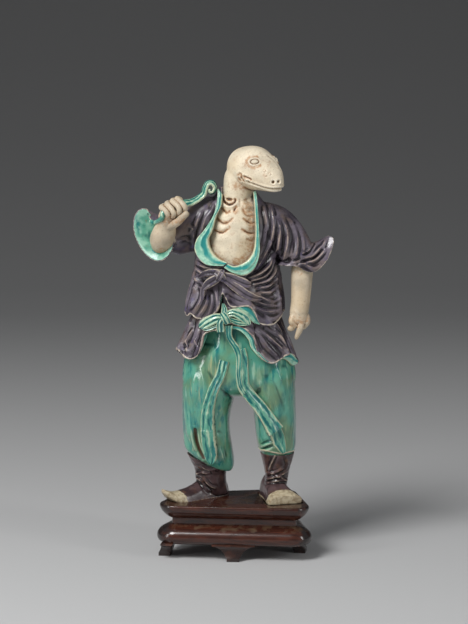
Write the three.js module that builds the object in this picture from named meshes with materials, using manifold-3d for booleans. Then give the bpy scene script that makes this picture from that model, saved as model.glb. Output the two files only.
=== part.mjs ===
// A glazed porcelain figure of a man with a snake's head, standing on a carved wooden stand.
// Millimetres. +X is the viewer's right, -Y the front, +Z up; the stand's feet rest on Z = 0.
import * as THREE from "three";
import { mergeVertices } from "three/addons/utils/BufferGeometryUtils.js";
import Module from "manifold-3d";

const wasm = await Module();
wasm.setup();
const { Manifold, Mesh } = wasm;

// Driving sizes.
const STAND_HEIGHT = 36.5;
const POCKET_DEPTH = 1.5;
const POCKET_CLEARANCE = 1;
const SOLE_LEVEL = STAND_HEIGHT - POCKET_DEPTH;
const FOOT_HEIGHT = 9.8;
const CLOTH = 1.8;
const SUNK = 4;
const CENTRE = [1.3, 1.2, 0];
const LEVELS = [0, SOLE_LEVEL, STAND_HEIGHT];
const FIGURE_FACES = 8600;
const STAND_FACES = 1300;
// Where small forms are kept when faces are thinned out: [x, y, z, reach, times as careful].
const CARE = [
  [18, -15, 260, 17, 7], [8, 0, 258, 24, 1.5], [-41, -21, 236, 12, 3], [41, -12, 156, 12, 3],
  [-16, -7, 246, 8, 4],
];

const V = (x, y, z) => new THREE.Vector3(x, y, z);
const points = (rows) => rows.map(([x, y, z]) => V(x, y, z));

// Skins, joins and cuts.

// A closed skin over rings of equal count, capped at both ends with a fan.
function skin(rings) {
  const n = rings[0].length;
  const position = [];
  const index = [];
  for (const ring of rings) {
    for (const p of ring) {
      position.push(p.x, p.y, p.z);
    }
  }
  for (let i = 0; i + 1 < rings.length; i += 1) {
    for (let j = 0; j < n; j += 1) {
      const a = i * n + j;
      const b = i * n + ((j + 1) % n);
      index.push(a, b, b + n, a, b + n, a + n);
    }
  }
  const cap = (ring, start, flip) => {
    const middle = ring.reduce((sum, p) => sum.add(p), V(0, 0, 0)).divideScalar(n);
    const m = position.length / 3;
    position.push(middle.x, middle.y, middle.z);
    for (let j = 0; j < n; j += 1) {
      const a = start + j;
      const b = start + ((j + 1) % n);
      index.push(...(flip ? [m, b, a] : [m, a, b]));
    }
  };
  cap(rings[0], 0, true);
  cap(rings[rings.length - 1], (rings.length - 1) * n, false);
  const geometry = new THREE.BufferGeometry();
  geometry.setAttribute("position", new THREE.Float32BufferAttribute(position, 3));
  geometry.setIndex(index);
  return volume(geometry) < 0 ? flipped(geometry) : geometry;
}

function volume(geometry) {
  const p = geometry.attributes.position;
  const i = geometry.index;
  let sum = 0;
  for (let k = 0; k < i.count; k += 3) {
    const a = V().fromBufferAttribute(p, i.getX(k));
    const b = V().fromBufferAttribute(p, i.getX(k + 1));
    const c = V().fromBufferAttribute(p, i.getX(k + 2));
    sum += a.dot(b.cross(c));
  }
  return sum;
}

function flipped(geometry) {
  const i = geometry.index;
  for (let k = 0; k < i.count; k += 3) {
    const b = i.getX(k + 1);
    i.setX(k + 1, i.getX(k + 2));
    i.setX(k + 2, b);
  }
  return geometry;
}

function solid(geometry) {
  const plain = geometry.clone();
  plain.deleteAttribute("normal");
  plain.deleteAttribute("uv");
  const g = mergeVertices(plain, 1e-4);
  return new Manifold(new Mesh({
    numProp: 3,
    vertProperties: new Float32Array(g.attributes.position.array),
    triVerts: new Uint32Array(g.index.array),
  }));
}

function geometryOf(body) {
  const mesh = body.getMesh();
  const g = new THREE.BufferGeometry();
  g.setAttribute("position", new THREE.Float32BufferAttribute(mesh.vertProperties, 3));
  g.setIndex(Array.from(mesh.triVerts));
  return g;
}

const joined = (geometries) => Manifold.union(geometries.map(solid));

// Curves and sections.

// Rows of numbers run through smoothly, with `steps` rows for every given one.
function smooth(rows, steps) {
  const out = [];
  const at = (i) => rows[Math.max(0, Math.min(rows.length - 1, i))];
  for (let i = 0; i + 1 < rows.length; i += 1) {
    for (let s = 0; s < steps; s += 1) {
      const t = s / steps;
      out.push(rows[i].map((_, k) => {
        const [p0, p1, p2, p3] = [at(i - 1)[k], at(i)[k], at(i + 1)[k], at(i + 2)[k]];
        return 0.5 * (2 * p1 + (p2 - p0) * t + (2 * p0 - 5 * p1 + 4 * p2 - p3) * t * t
          + (3 * p1 - p0 - 3 * p2 + p3) * t * t * t);
      }));
    }
  }
  out.push(rows[rows.length - 1]);
  return out;
}

// A superellipse: power 2 is an ellipse, more is squarer.
function oval(angle, a, b, power = 2) {
  const c = Math.cos(angle);
  const s = Math.sin(angle);
  const r = (Math.abs(c) ** power + Math.abs(s) ** power) ** (-1 / power);
  return [a * r * c, b * r * s];
}

// Level ovals one above the other: [z, x, y, half width, half depth, lean across, lean back].
function stack(stations, sides, steps, power = 2.2, wave = () => 0) {
  const rows = smooth(stations.map((s) => [...s, 0, 0].slice(0, 7)), steps);
  return skin(rows.map(([z, x, y, a, b, leanX, leanY], i) => {
    const ring = [];
    for (let j = 0; j < sides; j += 1) {
      const angle = (2 * Math.PI * j) / sides;
      const w = 1 + wave(angle, i / (rows.length - 1));
      const [u, v] = oval(angle, a * w, b * w, power);
      ring.push(V(x + u, y + v, z + leanX * u + leanY * v));
    }
    return ring;
  }));
}

// A round or oval limb along points, [x, y, z, radius, second radius], with domed ends.
function limb(stations, sides, steps = 2, dome = true) {
  const rows = smooth(stations.map((s) => [s[0], s[1], s[2], s[3], s[4] ?? s[3]]), steps);
  const centres = rows.map((r) => V(r[0], r[1], r[2]));
  const along = centres.map((_, i) => {
    const a = centres[Math.max(0, i - 1)];
    const b = centres[Math.min(centres.length - 1, i + 1)];
    return b.clone().sub(a).normalize();
  });
  let side = Math.abs(along[0].z) > 0.8 ? V(1, 0, 0) : V(0, 0, 1).cross(along[0]);
  const rings = [];
  const ring = (c, t, a, b) => {
    side = side.clone().addScaledVector(t, -side.dot(t)).normalize();
    const other = t.clone().cross(side);
    const out = [];
    for (let j = 0; j < sides; j += 1) {
      const angle = (2 * Math.PI * j) / sides;
      out.push(c.clone().addScaledVector(side, a * Math.cos(angle))
        .addScaledVector(other, b * Math.sin(angle)));
    }
    return out;
  };
  rows.forEach((r, i) => {
    const end = i === 0 ? -1 : i === rows.length - 1 ? 1 : 0;
    const tip = centres[i].clone().addScaledVector(along[i], end * 0.55 * Math.min(r[3], r[4]));
    if (dome && end < 0) {
      rings.push(ring(tip, along[i], 0.6 * r[3], 0.6 * r[4]));
    }
    rings.push(ring(centres[i], along[i], r[3], r[4]));
    if (dome && end > 0) {
      rings.push(ring(tip, along[i], 0.6 * r[3], 0.6 * r[4]));
    }
  });
  return skin(rings);
}

// A strip lying on a surface: centre points, the surface's outward normals, half widths,
// and a section given across the strip as [share of half width, height].
function strip(centres, normals, halves, section) {
  return skin(centres.map((c, i) => {
    const a = centres[Math.max(0, i - 1)];
    const b = centres[Math.min(centres.length - 1, i + 1)];
    const along = b.clone().sub(a).normalize();
    const across = along.clone().cross(normals[i]).normalize();
    const out = across.clone().cross(along).normalize();
    return section.map(([u, h]) => c.clone().addScaledVector(across, u * halves[i])
      .addScaledVector(out, h));
  }));
}

const FLAT_BAND = (t) => [[-1, -1], [1, -1], [1, 0.7 * t], [0.8, t], [-0.8, t], [-1, 0.7 * t]];
const GROOVED_BAND = (t) => [[-1, -1], [1, -1], [1, 0.8 * t], [0.7, t], [0.25, t - 0.7],
  [-0.25, t - 0.7], [-0.7, t], [-1, 0.8 * t]];

// Laying forms on the body.

// Looks at a body level from an azimuth (0 is the front, 90 the viewer's right) and
// returns where the sight line for (across, height) meets it, with the normal there.
function viewer(body, azimuth) {
  const mesh = new THREE.Mesh(geometryOf(body), new THREE.MeshBasicMaterial());
  mesh.material.side = THREE.DoubleSide;
  const turn = THREE.MathUtils.degToRad(azimuth);
  const look = V(-Math.sin(turn), Math.cos(turn), 0);
  const right = V(Math.cos(turn), Math.sin(turn), 0);
  const caster = new THREE.Raycaster();
  return (across, height) => {
    const start = right.clone().multiplyScalar(across).addScaledVector(look, -300);
    start.z = height;
    caster.set(start, look);
    const hit = caster.intersectObject(mesh)[0];
    return hit ? { point: hit.point, normal: hit.face.normal.clone() } : null;
  };
}

// A raised fold: a tapered roof-shaped ridge through points seen from one side.
function ridge(see, line, width, height, steps = 4) {
  const rows = smooth(line, steps);
  const hits = rows.map(([u, h]) => see(u, h)).filter((hit) => hit);
  if (hits.length < 3) {
    return null;
  }
  const last = hits.length - 1;
  const rings = hits.map(({ point, normal }, i) => {
    const a = hits[Math.max(0, i - 1)].point;
    const b = hits[Math.min(last, i + 1)].point;
    const along = b.clone().sub(a).normalize();
    const across = along.clone().cross(normal).normalize();
    const fade = Math.sin(Math.PI * (0.1 + 0.8 * (i / last))) ** 0.6;
    const w = 0.5 * width * fade;
    return [[-1, -0.6], [1, -0.6], [0.3, height * fade], [-0.3, height * fade]].map(([u, h]) => {
      return point.clone().addScaledVector(across, u * w).addScaledVector(normal, h);
    });
  });
  return skin(rings);
}

// Folds spread evenly between two guide lines with the same number of points.
function fan(see, from, to, count, width, height, steps = 4) {
  const out = [];
  for (let i = 0; i < count; i += 1) {
    const t = count === 1 ? 0.5 : i / (count - 1);
    const line = from.map(([u, h], k) => [u + (to[k][0] - u) * t, h + (to[k][1] - h) * t]);
    const fold = ridge(see, line, width, height, steps);
    if (fold) {
      out.push(fold);
    }
  }
  return out;
}

// A strip hanging in front of the body: rows of [x, y, z, half width]. Its back is sunk in.
function hungStrip(rows, thickness, section = GROOVED_BAND) {
  const at = smooth(rows, 3);
  const centres = at.map(([x, y, z]) => V(x, y, z));
  const normals = centres.map((c) => V(0.5 * c.x / 40, -1, 0).normalize());
  const band = section(thickness).map(([u, h]) => [u, h < 0 ? -SUNK : h]);
  return strip(centres, normals, at.map((r) => r[3]), band);
}

// The wooden stand.

// Corner centres of the plan and their radius at the widest moulding.
const PLAN_RADIUS = 13;
const PLAN = [[-39.7, -12], [38, -20], [31, 17.5], [-30, 9.5]];
const CORNER_STEPS = 6;

function planRing(inset, z) {
  const ring = [];
  PLAN.forEach(([x, y], i) => {
    const before = PLAN[(i + 3) % 4];
    const after = PLAN[(i + 1) % 4];
    const from = Math.atan2(y - before[1], x - before[0]) - Math.PI / 2;
    let to = Math.atan2(after[1] - y, after[0] - x) - Math.PI / 2;
    if (to < from) {
      to += 2 * Math.PI;
    }
    for (let k = 0; k <= CORNER_STEPS; k += 1) {
      const angle = from + ((to - from) * k) / CORNER_STEPS;
      const r = PLAN_RADIUS - inset;
      ring.push(V(x + r * Math.cos(angle), y + r * Math.sin(angle), z));
    }
  });
  return ring;
}

// The edge moulding from the underside up: [height, inset from the widest line].
const STAND_PROFILE = [
  [FOOT_HEIGHT, 5.2], [10.2, 3.2], [11.6, 1], [14, 0], [16.4, 0.3], [18.8, 1.7],
  [20.8, 4.2], [22, 7.2], [22.6, 10.2], [26.6, 10.2], [27.2, 8.4], [28.8, 6],
  [30.8, 4], [32.8, 2.7], [34.6, 2], [35.8, 2.3], [STAND_HEIGHT, 3.2],
];

// A bracket foot, facing the front: its outline from the front, cut by its side outline.
function bracketFoot() {
  const front = new THREE.Shape();
  front.moveTo(-14.5, FOOT_HEIGHT + 1.2);
  front.lineTo(-14.5, FOOT_HEIGHT - 0.2);
  front.quadraticCurveTo(-7.5, FOOT_HEIGHT - 1, -5.2, 3.4);
  front.lineTo(-4.2, 2.2);
  front.lineTo(-4.2, 0);
  front.lineTo(4.2, 0);
  front.lineTo(4.2, 2.2);
  front.lineTo(5.2, 3.4);
  front.quadraticCurveTo(7.5, FOOT_HEIGHT - 1, 14.5, FOOT_HEIGHT - 0.2);
  front.lineTo(14.5, FOOT_HEIGHT + 1.2);
  front.closePath();
  const side = new THREE.Shape();
  side.moveTo(1.4, FOOT_HEIGHT + 1.2);
  side.quadraticCurveTo(0, 5, -2.2, 2.2);
  side.lineTo(-2.2, 0);
  side.lineTo(5.5, 0);
  side.quadraticCurveTo(6.5, 6, 9.5, FOOT_HEIGHT + 1.2);
  side.closePath();
  const wide = new THREE.ExtrudeGeometry(front, { depth: 30, bevelEnabled: false, curveSegments: 5 });
  wide.rotateX(Math.PI / 2);
  wide.translate(0, 15, 0);
  const deep = new THREE.ExtrudeGeometry(side, { depth: 40, bevelEnabled: false, curveSegments: 5 });
  deep.rotateX(Math.PI / 2);
  deep.rotateZ(Math.PI / 2);
  deep.translate(-20, 0, 0);
  return { wide, deep };
}

// Where each foot stands: [x, y, turn in degrees]; 0 faces the front.
const FEET = [[-1.6, -27.6, -3], [-48.8, -9, -100], [45.5, -2.5, 80], [0.5, 22.6, 187]];

// The boots.

// Where a foot's sections stand along its length, toe last:
// [distance from the heel, half width, sole lift, sole thickness, top height].
const LEFT_FOOT = { heel: [-6.6, 17.4], turn: 215.5, rows: [
  [0, 3.8, 0, 2.4, 7], [2.5, 6.5, 0, 2.4, 13], [8, 7.8, 0, 2.4, 18], [16, 7.9, 0, 2.4, 16.5],
  [24, 8, 0, 2.4, 11.6], [31, 8.2, 0, 2.6, 9], [38, 7.9, 0, 3.2, 8], [43.5, 6.4, 1.4, 3.6, 8],
  [48.4, 3.9, 4.8, 3.4, 9.4], [52, 1.3, 8.6, 1.6, 11],
] };
const RIGHT_FOOT = { heel: [21.6, 20.8], turn: 287.5, rows: [
  [0, 3.8, 0, 2.4, 7], [2, 6.2, 0, 2.4, 13], [7, 7.6, 0, 2.4, 17], [14, 7.9, 0, 2.4, 18],
  [21, 8.6, 0, 2.6, 14.5], [28, 10, 0, 3.4, 11.5], [34, 11, 0.1, 4.8, 9.6], [38.2, 11.2, 0.6, 5.6, 8.2],
  [40.4, 10.6, 1.6, 5, 7.6],
] };

function footSections(foot) {
  const turn = THREE.MathUtils.degToRad(foot.turn);
  const ahead = V(Math.cos(turn), Math.sin(turn), 0);
  const across = V(-Math.sin(turn), Math.cos(turn), 0);
  const at = (row, u, h) => V(foot.heel[0], foot.heel[1], SOLE_LEVEL + h)
    .addScaledVector(ahead, row[0]).addScaledVector(across, u * row[1]);
  const upper = smooth(foot.rows, 2).map((row) => {
    const [, , lift, thick, top] = row;
    const low = lift + 0.6 * thick;
    const rise = top - low;
    return [[-0.92, low], [0.92, low], [0.93, low + 0.3 * rise], [0.8, low + 0.62 * rise],
      [0.45, low + 0.9 * rise], [0, top], [-0.45, low + 0.9 * rise],
      [-0.8, low + 0.62 * rise], [-0.93, low + 0.3 * rise]].map(([u, h]) => at(row, u, h));
  });
  const sole = smooth(foot.rows, 2).map((row) => {
    const [, , lift, thick] = row;
    const flat = Math.max(lift, 0);
    return [[-0.96, flat], [0.96, flat], [1.07, flat + 0.5 * thick], [0.98, flat + thick],
      [-0.98, flat + thick], [-1.07, flat + 0.5 * thick]].map(([u, h]) => at(row, u, h));
  });
  return [skin(upper), skin(sole)];
}

// The outline a foot leaves on the stand, grown by a clearance.
function footPocket(foot) {
  const turn = THREE.MathUtils.degToRad(foot.turn);
  const ahead = V(Math.cos(turn), Math.sin(turn), 0);
  const across = V(-Math.sin(turn), Math.cos(turn), 0);
  const rows = foot.rows.filter((row) => row[2] < 2.2);
  const ends = [[-POCKET_CLEARANCE - 0.4, rows[0][1]], ...rows.map((r) => [r[0], r[1]])];
  const tip = rows[rows.length - 1];
  ends.push([tip[0] + POCKET_CLEARANCE + 0.8, tip[1] * 0.82]);
  const side = (s) => ends.map(([d, w]) => V(foot.heel[0], foot.heel[1], 0)
    .addScaledVector(ahead, d).addScaledVector(across, s * (1.06 * w + POCKET_CLEARANCE)));
  const outline = [...side(1), ...side(-1).reverse()];
  const raised = (z) => outline.map((p) => V(p.x, p.y, z));
  return skin([raised(SOLE_LEVEL), raised(STAND_HEIGHT + 20)]);
}

const LEFT_SHAFT = [
  [38, -14.2, 11.6, 9.2, 9.2], [43, -15.6, 10.4, 9.9, 10.4], [48, -16.6, 9, 10.4, 10.6, -0.05],
  [54, -17, 7.6, 10.7, 11, -0.16], [59, -18, 6, 12.6, 12.6, -0.26], [62.4, -18.6, 5, 14.2, 14, -0.33],
];
const RIGHT_SHAFT = [
  [38, 25.2, 10.6, 8, 8.6], [43, 26.6, 8.6, 8, 9.4], [49, 27.8, 6.6, 7.7, 9.6],
  [56, 28, 5, 8.6, 10.4], [63, 28.2, 4, 10.4, 12], [68, 28.2, 3.6, 11.6, 13.4],
];

function boots() {
  return [
    ...footSections(LEFT_FOOT), ...footSections(RIGHT_FOOT),
    stack(LEFT_SHAFT, 20, 2), stack(RIGHT_SHAFT, 20, 2),
  ];
}

// The trousers.

const HIPS = [
  [164, 0.5, 1, 27, 19], [150, 0.8, 1, 31.5, 21.5], [137, 1.6, 1, 35, 23],
  [125, 2.4, 1, 37.8, 23.4], [116, 2.5, 1.4, 37.4, 22], [110.5, 3, 2, 31, 17.5], [107.6, 3.6, 2, 19, 11],
];
const LEFT_LEG = [
  [140, -12, 1.5, 15, 16], [126, -15, 1.4, 18.6, 21], [114, -17, 1.6, 18.6, 22],
  [102, -18.7, 2.6, 17.1, 20.2],
  [91, -19.7, 3.4, 16, 19], [80, -19.3, 4.2, 16, 18.4], [71, -18.2, 5, 16.5, 18.2, -0.1],
  [65, -17, 5.4, 16.2, 17.4, -0.28], [60.4, -16, 5.8, 13.4, 14.4, -0.4], [58.6, -15.6, 6, 9, 10, -0.4],
];
const RIGHT_LEG = [
  [140, 18, 1.5, 14, 16], [126, 21.4, 1.4, 17.4, 21], [114, 23.2, 1.6, 16.8, 21.6],
  [102, 25.6, 2.6, 14.8, 19.6],
  [91, 26.6, 3.2, 14.2, 18.2], [80, 27.2, 3.6, 13.5, 17], [73, 27.8, 3.8, 12.8, 16],
  [68.6, 28, 4, 11.2, 13.4], [64, 28, 4.2, 9.4, 10.8],
];

function trousers() {
  return [stack(HIPS, 30, 2), stack(LEFT_LEG, 24, 2), stack(RIGHT_LEG, 24, 2)];
}

// The robe: two skirt tiers, the body, and the two sleeves.

// The lower hem all the way round, front centre first, then the viewer's right.
const LOWER_HEM = points([
  [-4, -25, 160], [3, -25.5, 158], [7, -25.5, 156], [11.5, -25.5, 151.5], [13.5, -25, 147],
  [14, -24.5, 141], [19.2, -23.5, 135], [25.2, -20.5, 132.7], [31, -17.5, 135.7], [35.9, -13, 138],
  [39.5, -8, 135], [42.4, -4, 130.3], [41, 3, 132], [38, 9, 135], [32, 16, 133], [22, 22, 131],
  [10, 25, 133], [-4, 25.5, 130], [-17, 23, 132.5], [-28, 17, 131], [-35.5, 8, 134], [-39, 0, 138],
  [-38.4, -6, 141], [-37, -10, 138.5], [-32.5, -15, 135.3], [-29, -18, 135.3], [-25.4, -21.5, 138],
  [-22.7, -23.5, 145], [-21, -24.5, 152], [-16, -25, 155], [-12, -25.2, 155.6], [-8, -25, 157],
]);
const UPPER_HEM = points([
  [-8.5, -24, 180], [-6.5, -24.5, 176.5], [-3, -25, 171.2], [3.6, -25.5, 171.2], [9.5, -25.5, 171.2],
  [12.5, -25.5, 167], [15.8, -25, 160.4], [20.5, -23, 158.5], [25.8, -19, 158.9], [30.7, -12, 163.2],
  [32, -5, 166], [32.5, 2, 164], [30, 10, 162], [24, 17, 164], [13, 21.5, 161], [0, 22.5, 163.5],
  [-13, 21.5, 161.5], [-24, 16.5, 164], [-30.5, 8, 162.5], [-33, 0, 165.5], [-33.5, -7, 164],
  [-32.3, -12, 163], [-29.5, -15, 165], [-26.7, -18.5, 163], [-21.4, -21.5, 162.7],
  [-14.8, -24, 165.7], [-11, -24.5, 170.5], [-10, -24.5, 176],
]);

// The ovals the skirts hang from: [z, x, y, half width, half depth].
const LOWER_WAIST = [170, 0.4, 0.8, 27.6, 21];
const UPPER_WAIST = [189, 0.6, 0.5, 28.4, 21];

// A skirt from an oval at the waist to a hem line, with a lip and a hollow underneath.
function skirt(hem, waist, samples, flare, flutes, depth) {
  const [wz, wx, wy, wa, wb] = waist;
  const line = new THREE.CatmullRomCurve3(hem, true).getSpacedPoints(samples).slice(0, samples);
  const top = line.map((p) => {
    const angle = Math.atan2((p.y - wy) / wb, (p.x - wx) / wa);
    return V(wx + wa * Math.cos(angle), wy + wb * Math.sin(angle), wz);
  });
  const between = (t) => line.map((p, j) => {
    const q = top[j].clone().lerp(p, t);
    const angle = Math.atan2(p.y - wy, p.x - wx);
    const fold = depth * Math.sin(Math.PI * t) ** 0.7 * Math.cos(flutes * angle + 2 * Math.sin(2 * angle));
    const out = t ** flare;
    q.x = top[j].x + (p.x - top[j].x) * out + fold * Math.cos(angle);
    q.y = top[j].y + (p.y - top[j].y) * out + fold * Math.sin(angle);
    return q;
  });
  const inward = (ring, amount, drop) => ring.map((p) => {
    const away = V(p.x - wx, p.y - wy, 0).normalize();
    return p.clone().addScaledVector(away, -amount).setZ(p.z + drop);
  });
  const outer = [0, 0.2, 0.4, 0.6, 0.8, 1].map(between);
  const rimUp = inward(line, CLOTH + 1.4, 3);
  const hidden = top.map((p) => V(wx + (p.x - wx) * 0.75, wy + (p.y - wy) * 0.75, wz - 1.5));
  return skin([...outer, inward(line, 0.8 * CLOTH, -0.2), rimUp, hidden]);
}

const TORSO = [
  [156, 0.5, 1, 27, 19.5], [170, 0.5, 0.8, 28.4, 20.8], [183, 0.6, 0.5, 29.6, 21.4],
  [195, 1, 0.5, 28.6, 21], [206, 1, 0.8, 27.6, 20.4], [217, 1.4, 1, 28, 19], [227, 1.4, 1.2, 25, 17],
  [236, 1, 1.4, 18.8, 14.2], [243, 0.8, 1.6, 13.8, 11.6], [247.5, 0.4, 1.8, 11, 10],
];

// The front opening of the robe, as seen from the front.
const OPENING = [
  [-9, 250], [-9.2, 240], [-12.4, 230.1], [-15.4, 220.4], [-17.9, 213], [-16.1, 206.6], [-11.2, 201.6],
  [-5.2, 198.6], [0.5, 196.8], [6, 199], [10.4, 203.2], [12.6, 208.4], [13.4, 218.2], [13.2, 230],
  [12.6, 240], [12, 250],
];
const CHEST = [
  [190, 0, 0, 20, 17], [198, -0.6, 0, 20.5, 18.4], [208, -1.4, 0, 20.5, 18.8], [218, -1, 0, 19.5, 17.6],
  [228, 0, 0, 17, 15.6], [236, 0.6, 0, 13.4, 12.6], [242, 0.8, 0, 10, 9.6],
];

function openingCut() {
  const shape = new THREE.Shape(OPENING.map(([x, z]) => new THREE.Vector2(x, z)));
  const g = new THREE.ExtrudeGeometry(shape, { depth: 50, bevelEnabled: false });
  g.rotateX(Math.PI / 2);
  g.translate(0, -9, 0);
  return g;
}

// A ring for a sleeve: `front` and `up` span it, the start is at the front.
function sleeveRing(centre, up, a, b, sides) {
  const ring = [];
  for (let j = 0; j < sides; j += 1) {
    const angle = (2 * Math.PI * j) / sides;
    ring.push(centre.clone().addScaledVector(V(0, -1, 0), a * Math.cos(angle))
      .addScaledVector(up, b * Math.sin(angle)));
  }
  return ring;
}

// A sleeve that opens to a cuff line, with a lip and a hollow inside.
function sleeve(stations, cuff, hollow, sides) {
  const arm = smooth(stations, 2).map(([x, y, z, a, b, ux, uz]) => {
    return sleeveRing(V(x, y, z), V(ux, 0, uz).normalize(), a, b, sides);
  });
  const rim = new THREE.CatmullRomCurve3(cuff, true).getSpacedPoints(sides).slice(0, sides);
  const middle = rim.reduce((sum, p) => sum.add(p), V(0, 0, 0)).divideScalar(sides);
  const before = arm[arm.length - 1];
  const flare = rim.map((p, j) => before[j].clone().lerp(p, 0.55));
  const [hx, hy, hz, ha, hb, ux, uz] = hollow;
  const bottom = sleeveRing(V(hx, hy, hz), V(ux, 0, uz).normalize(), ha, hb, sides);
  const lip = rim.map((p) => p.clone().addScaledVector(middle.clone().sub(p).normalize(), CLOTH));
  const deep = lip.map((p, j) => p.clone().lerp(bottom[j], 0.5));
  return skin([...arm, flare, rim, lip, deep, bottom]);
}

const RAISED_SLEEVE = [
  [-6, 1, 226, 13, 14, 0, 1], [-19, 1, 223.2, 13.5, 17.6, 0, 1], [-29, 0.4, 221, 13, 17.4, 0, 1],
  [-37, -1, 218.4, 12.6, 16.6, 0, 1],
];
// A sleeve's hollow ends in a ring: [x, y, z, half depth, half height, upward direction x, z].
const RAISED_HOLLOW = [-44.5, -4, 214.5, 4.6, 7.6, 0, 1];
const RAISED_CUFF = points([
  [-40.5, -14, 208.5], [-39.5, -12, 217], [-40, -9, 226], [-43, -9, 232], [-46.5, -10, 231.8],
  [-49.5, -9, 228], [-54, -7, 224.5], [-57.2, -4, 228], [-58.5, -2, 232.8], [-62.3, -2, 233.2],
  [-65.8, -2, 230.5], [-67.8, -2, 224], [-67, -3, 216], [-63.5, -6, 208], [-57.5, -10, 201.5],
  [-50.5, -13, 199], [-44, -15, 202.5],
]);
const LOWERED_SLEEVE = [
  [10, 1, 226, 13, 13, 0.4, 1], [23, 1, 221.6, 14.6, 15, 0.7, 0.9], [33.5, -0.6, 214, 13.6, 13.2, 0.8, 0.7],
  [40, -2.6, 204.9, 11.6, 11.8, 0.9, 0.5],
];
const LOWERED_HOLLOW = [43.4, -2.4, 203.5, 7, 7.6, 0.9, 0.5];
const LOWERED_CUFF = points([
  [47.2, -14.5, 192.3], [53.5, -12, 192.5], [59.8, -9, 198.2], [62.8, -8, 203.6], [64.8, -6, 209.5],
  [65.1, -4, 213.3], [61.2, -1, 215], [56, 4, 210], [52, 8, 203], [45, 10, 197.5], [37, 9, 195],
  [26.4, 5, 195.5], [24.8, -2, 196.2], [27, -8.8, 196.4], [33.6, -13, 196.2], [40.8, -15, 195.7],
]);

// Flesh: the arms, the hands, the neck and the head.

const RAISED_ARM = [
  [-49, -7, 208.6, 6.8], [-48.2, -9.5, 213, 8.4, 8.4], [-46.6, -13, 219, 7.6], [-44.6, -16, 225, 6],
  [-42.6, -18.4, 230.5, 6.4],
];
const LOWERED_ARM = [
  [44.4, -4, 204, 7.4], [44.2, -5.6, 192, 7.3], [43.6, -7, 182, 6.8], [43, -8.4, 172, 6.3],
  [42, -10, 164.5, 6.2],
];

// Fingers of the raised fist, little finger first: [x, top height].
const FIST_FINGERS = [[-47.4, 237.2], [-44.2, 239.8], [-40.9, 241.6], [-37.6, 241.4]];

// The palms, thumbs and fingers, as limbs: [x, y, z, radius, second radius].
const RAISED_PALM = [[-44.6, -19.5, 231.5, 5.2], [-41.6, -20.4, 235, 5.6], [-38.8, -20.8, 236.6, 4.6]];
const RAISED_THUMB = [
  [-42.5, -19, 226, 3], [-37.6, -24.4, 227.6, 2.7], [-33.4, -26, 231, 2.3], [-31.4, -25.2, 233, 1.9],
];
const LOWERED_PALM = [[42, -10.5, 164, 6.1], [41.6, -11.6, 159.6, 6, 5]];
const POINTING_FINGER = [
  [43.4, -12.6, 161, 2.7], [42.8, -14, 155, 2.2], [41, -13.6, 150, 1.7], [40.2, -13.2, 148, 1.2],
];
const CURLED_FINGERS = [
  [[46.6, -10.5, 162.5, 2.6], [47, -11.5, 158.8, 2.5], [44.6, -10.5, 155.4, 2.2]],
  [[38.4, -12.4, 163, 2.4], [37.2, -14, 159.4, 2.2], [39.4, -13.4, 156.4, 2]],
];
const LOWERED_THUMB = [[39.6, -10, 158, 2.3], [37.6, -12.4, 155.4, 2.3], [36, -14, 154.4, 1.9]];

function hands() {
  const fist = FIST_FINGERS.map(([x, top]) => limb([[x + 0.6, -17, top - 3.4, 2], [x, -21.2, top - 1.6, 2.1],
    [x + 0.5, -25.4, top - 4.6, 2], [x + 1.3, -26, top - 8.6, 1.8], [x + 1.9, -22.5, top - 10.2, 1.6]], 6));
  return [
    limb(RAISED_PALM, 10), limb(RAISED_THUMB, 7), ...fist,
    limb(LOWERED_PALM, 10), limb(POINTING_FINGER, 7), ...CURLED_FINGERS.map((finger) => limb(finger, 6)),
    limb(LOWERED_THUMB, 6),
  ];
}

const NECK = [
  [0.4, -0.5, 229, 9, 8.6], [0.8, -2.2, 237, 9.2, 9], [1.6, -2, 245, 9.8, 9.6], [3.4, -1, 252.5, 11, 11],
  [6, -1, 258, 10, 10],
];

// The head along its length, from the back of the skull to the snout:
// [distance, centre height, half width, half height].
const HEAD_TURN = THREE.MathUtils.degToRad(43);
const SKULL = V(8.3, -1.4, 0);
const HEAD = [
  [-13.9, 259.6, 3.4, 3.6], [-12, 259.8, 7.6, 7.8], [-7, 260.2, 12.2, 12.2], [0, 260.4, 14.1, 14],
  [7.5, 260.2, 13.9, 14.2], [14, 258.8, 12.3, 12.9], [20, 256.3, 10.3, 10.5], [25, 254, 8, 8.3],
  [28.6, 252.7, 5.2, 6.1], [30.6, 252.3, 2.8, 3],
];

function headPoint(distance, side, height) {
  const ahead = V(Math.sin(HEAD_TURN), -Math.cos(HEAD_TURN), 0);
  const across = V(Math.cos(HEAD_TURN), Math.sin(HEAD_TURN), 0);
  return SKULL.clone().addScaledVector(ahead, distance).addScaledVector(across, side).setZ(height);
}

function head() {
  const sides = 24;
  return skin(smooth(HEAD, 2).map(([d, z, w, h]) => {
    const ring = [];
    for (let j = 0; j < sides; j += 1) {
      const [u, v] = oval((2 * Math.PI * j) / sides, w, h, 2.15);
      ring.push(headPoint(d, u, z + v));
    }
    return ring;
  }));
}

// Putting the figure together.

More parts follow.
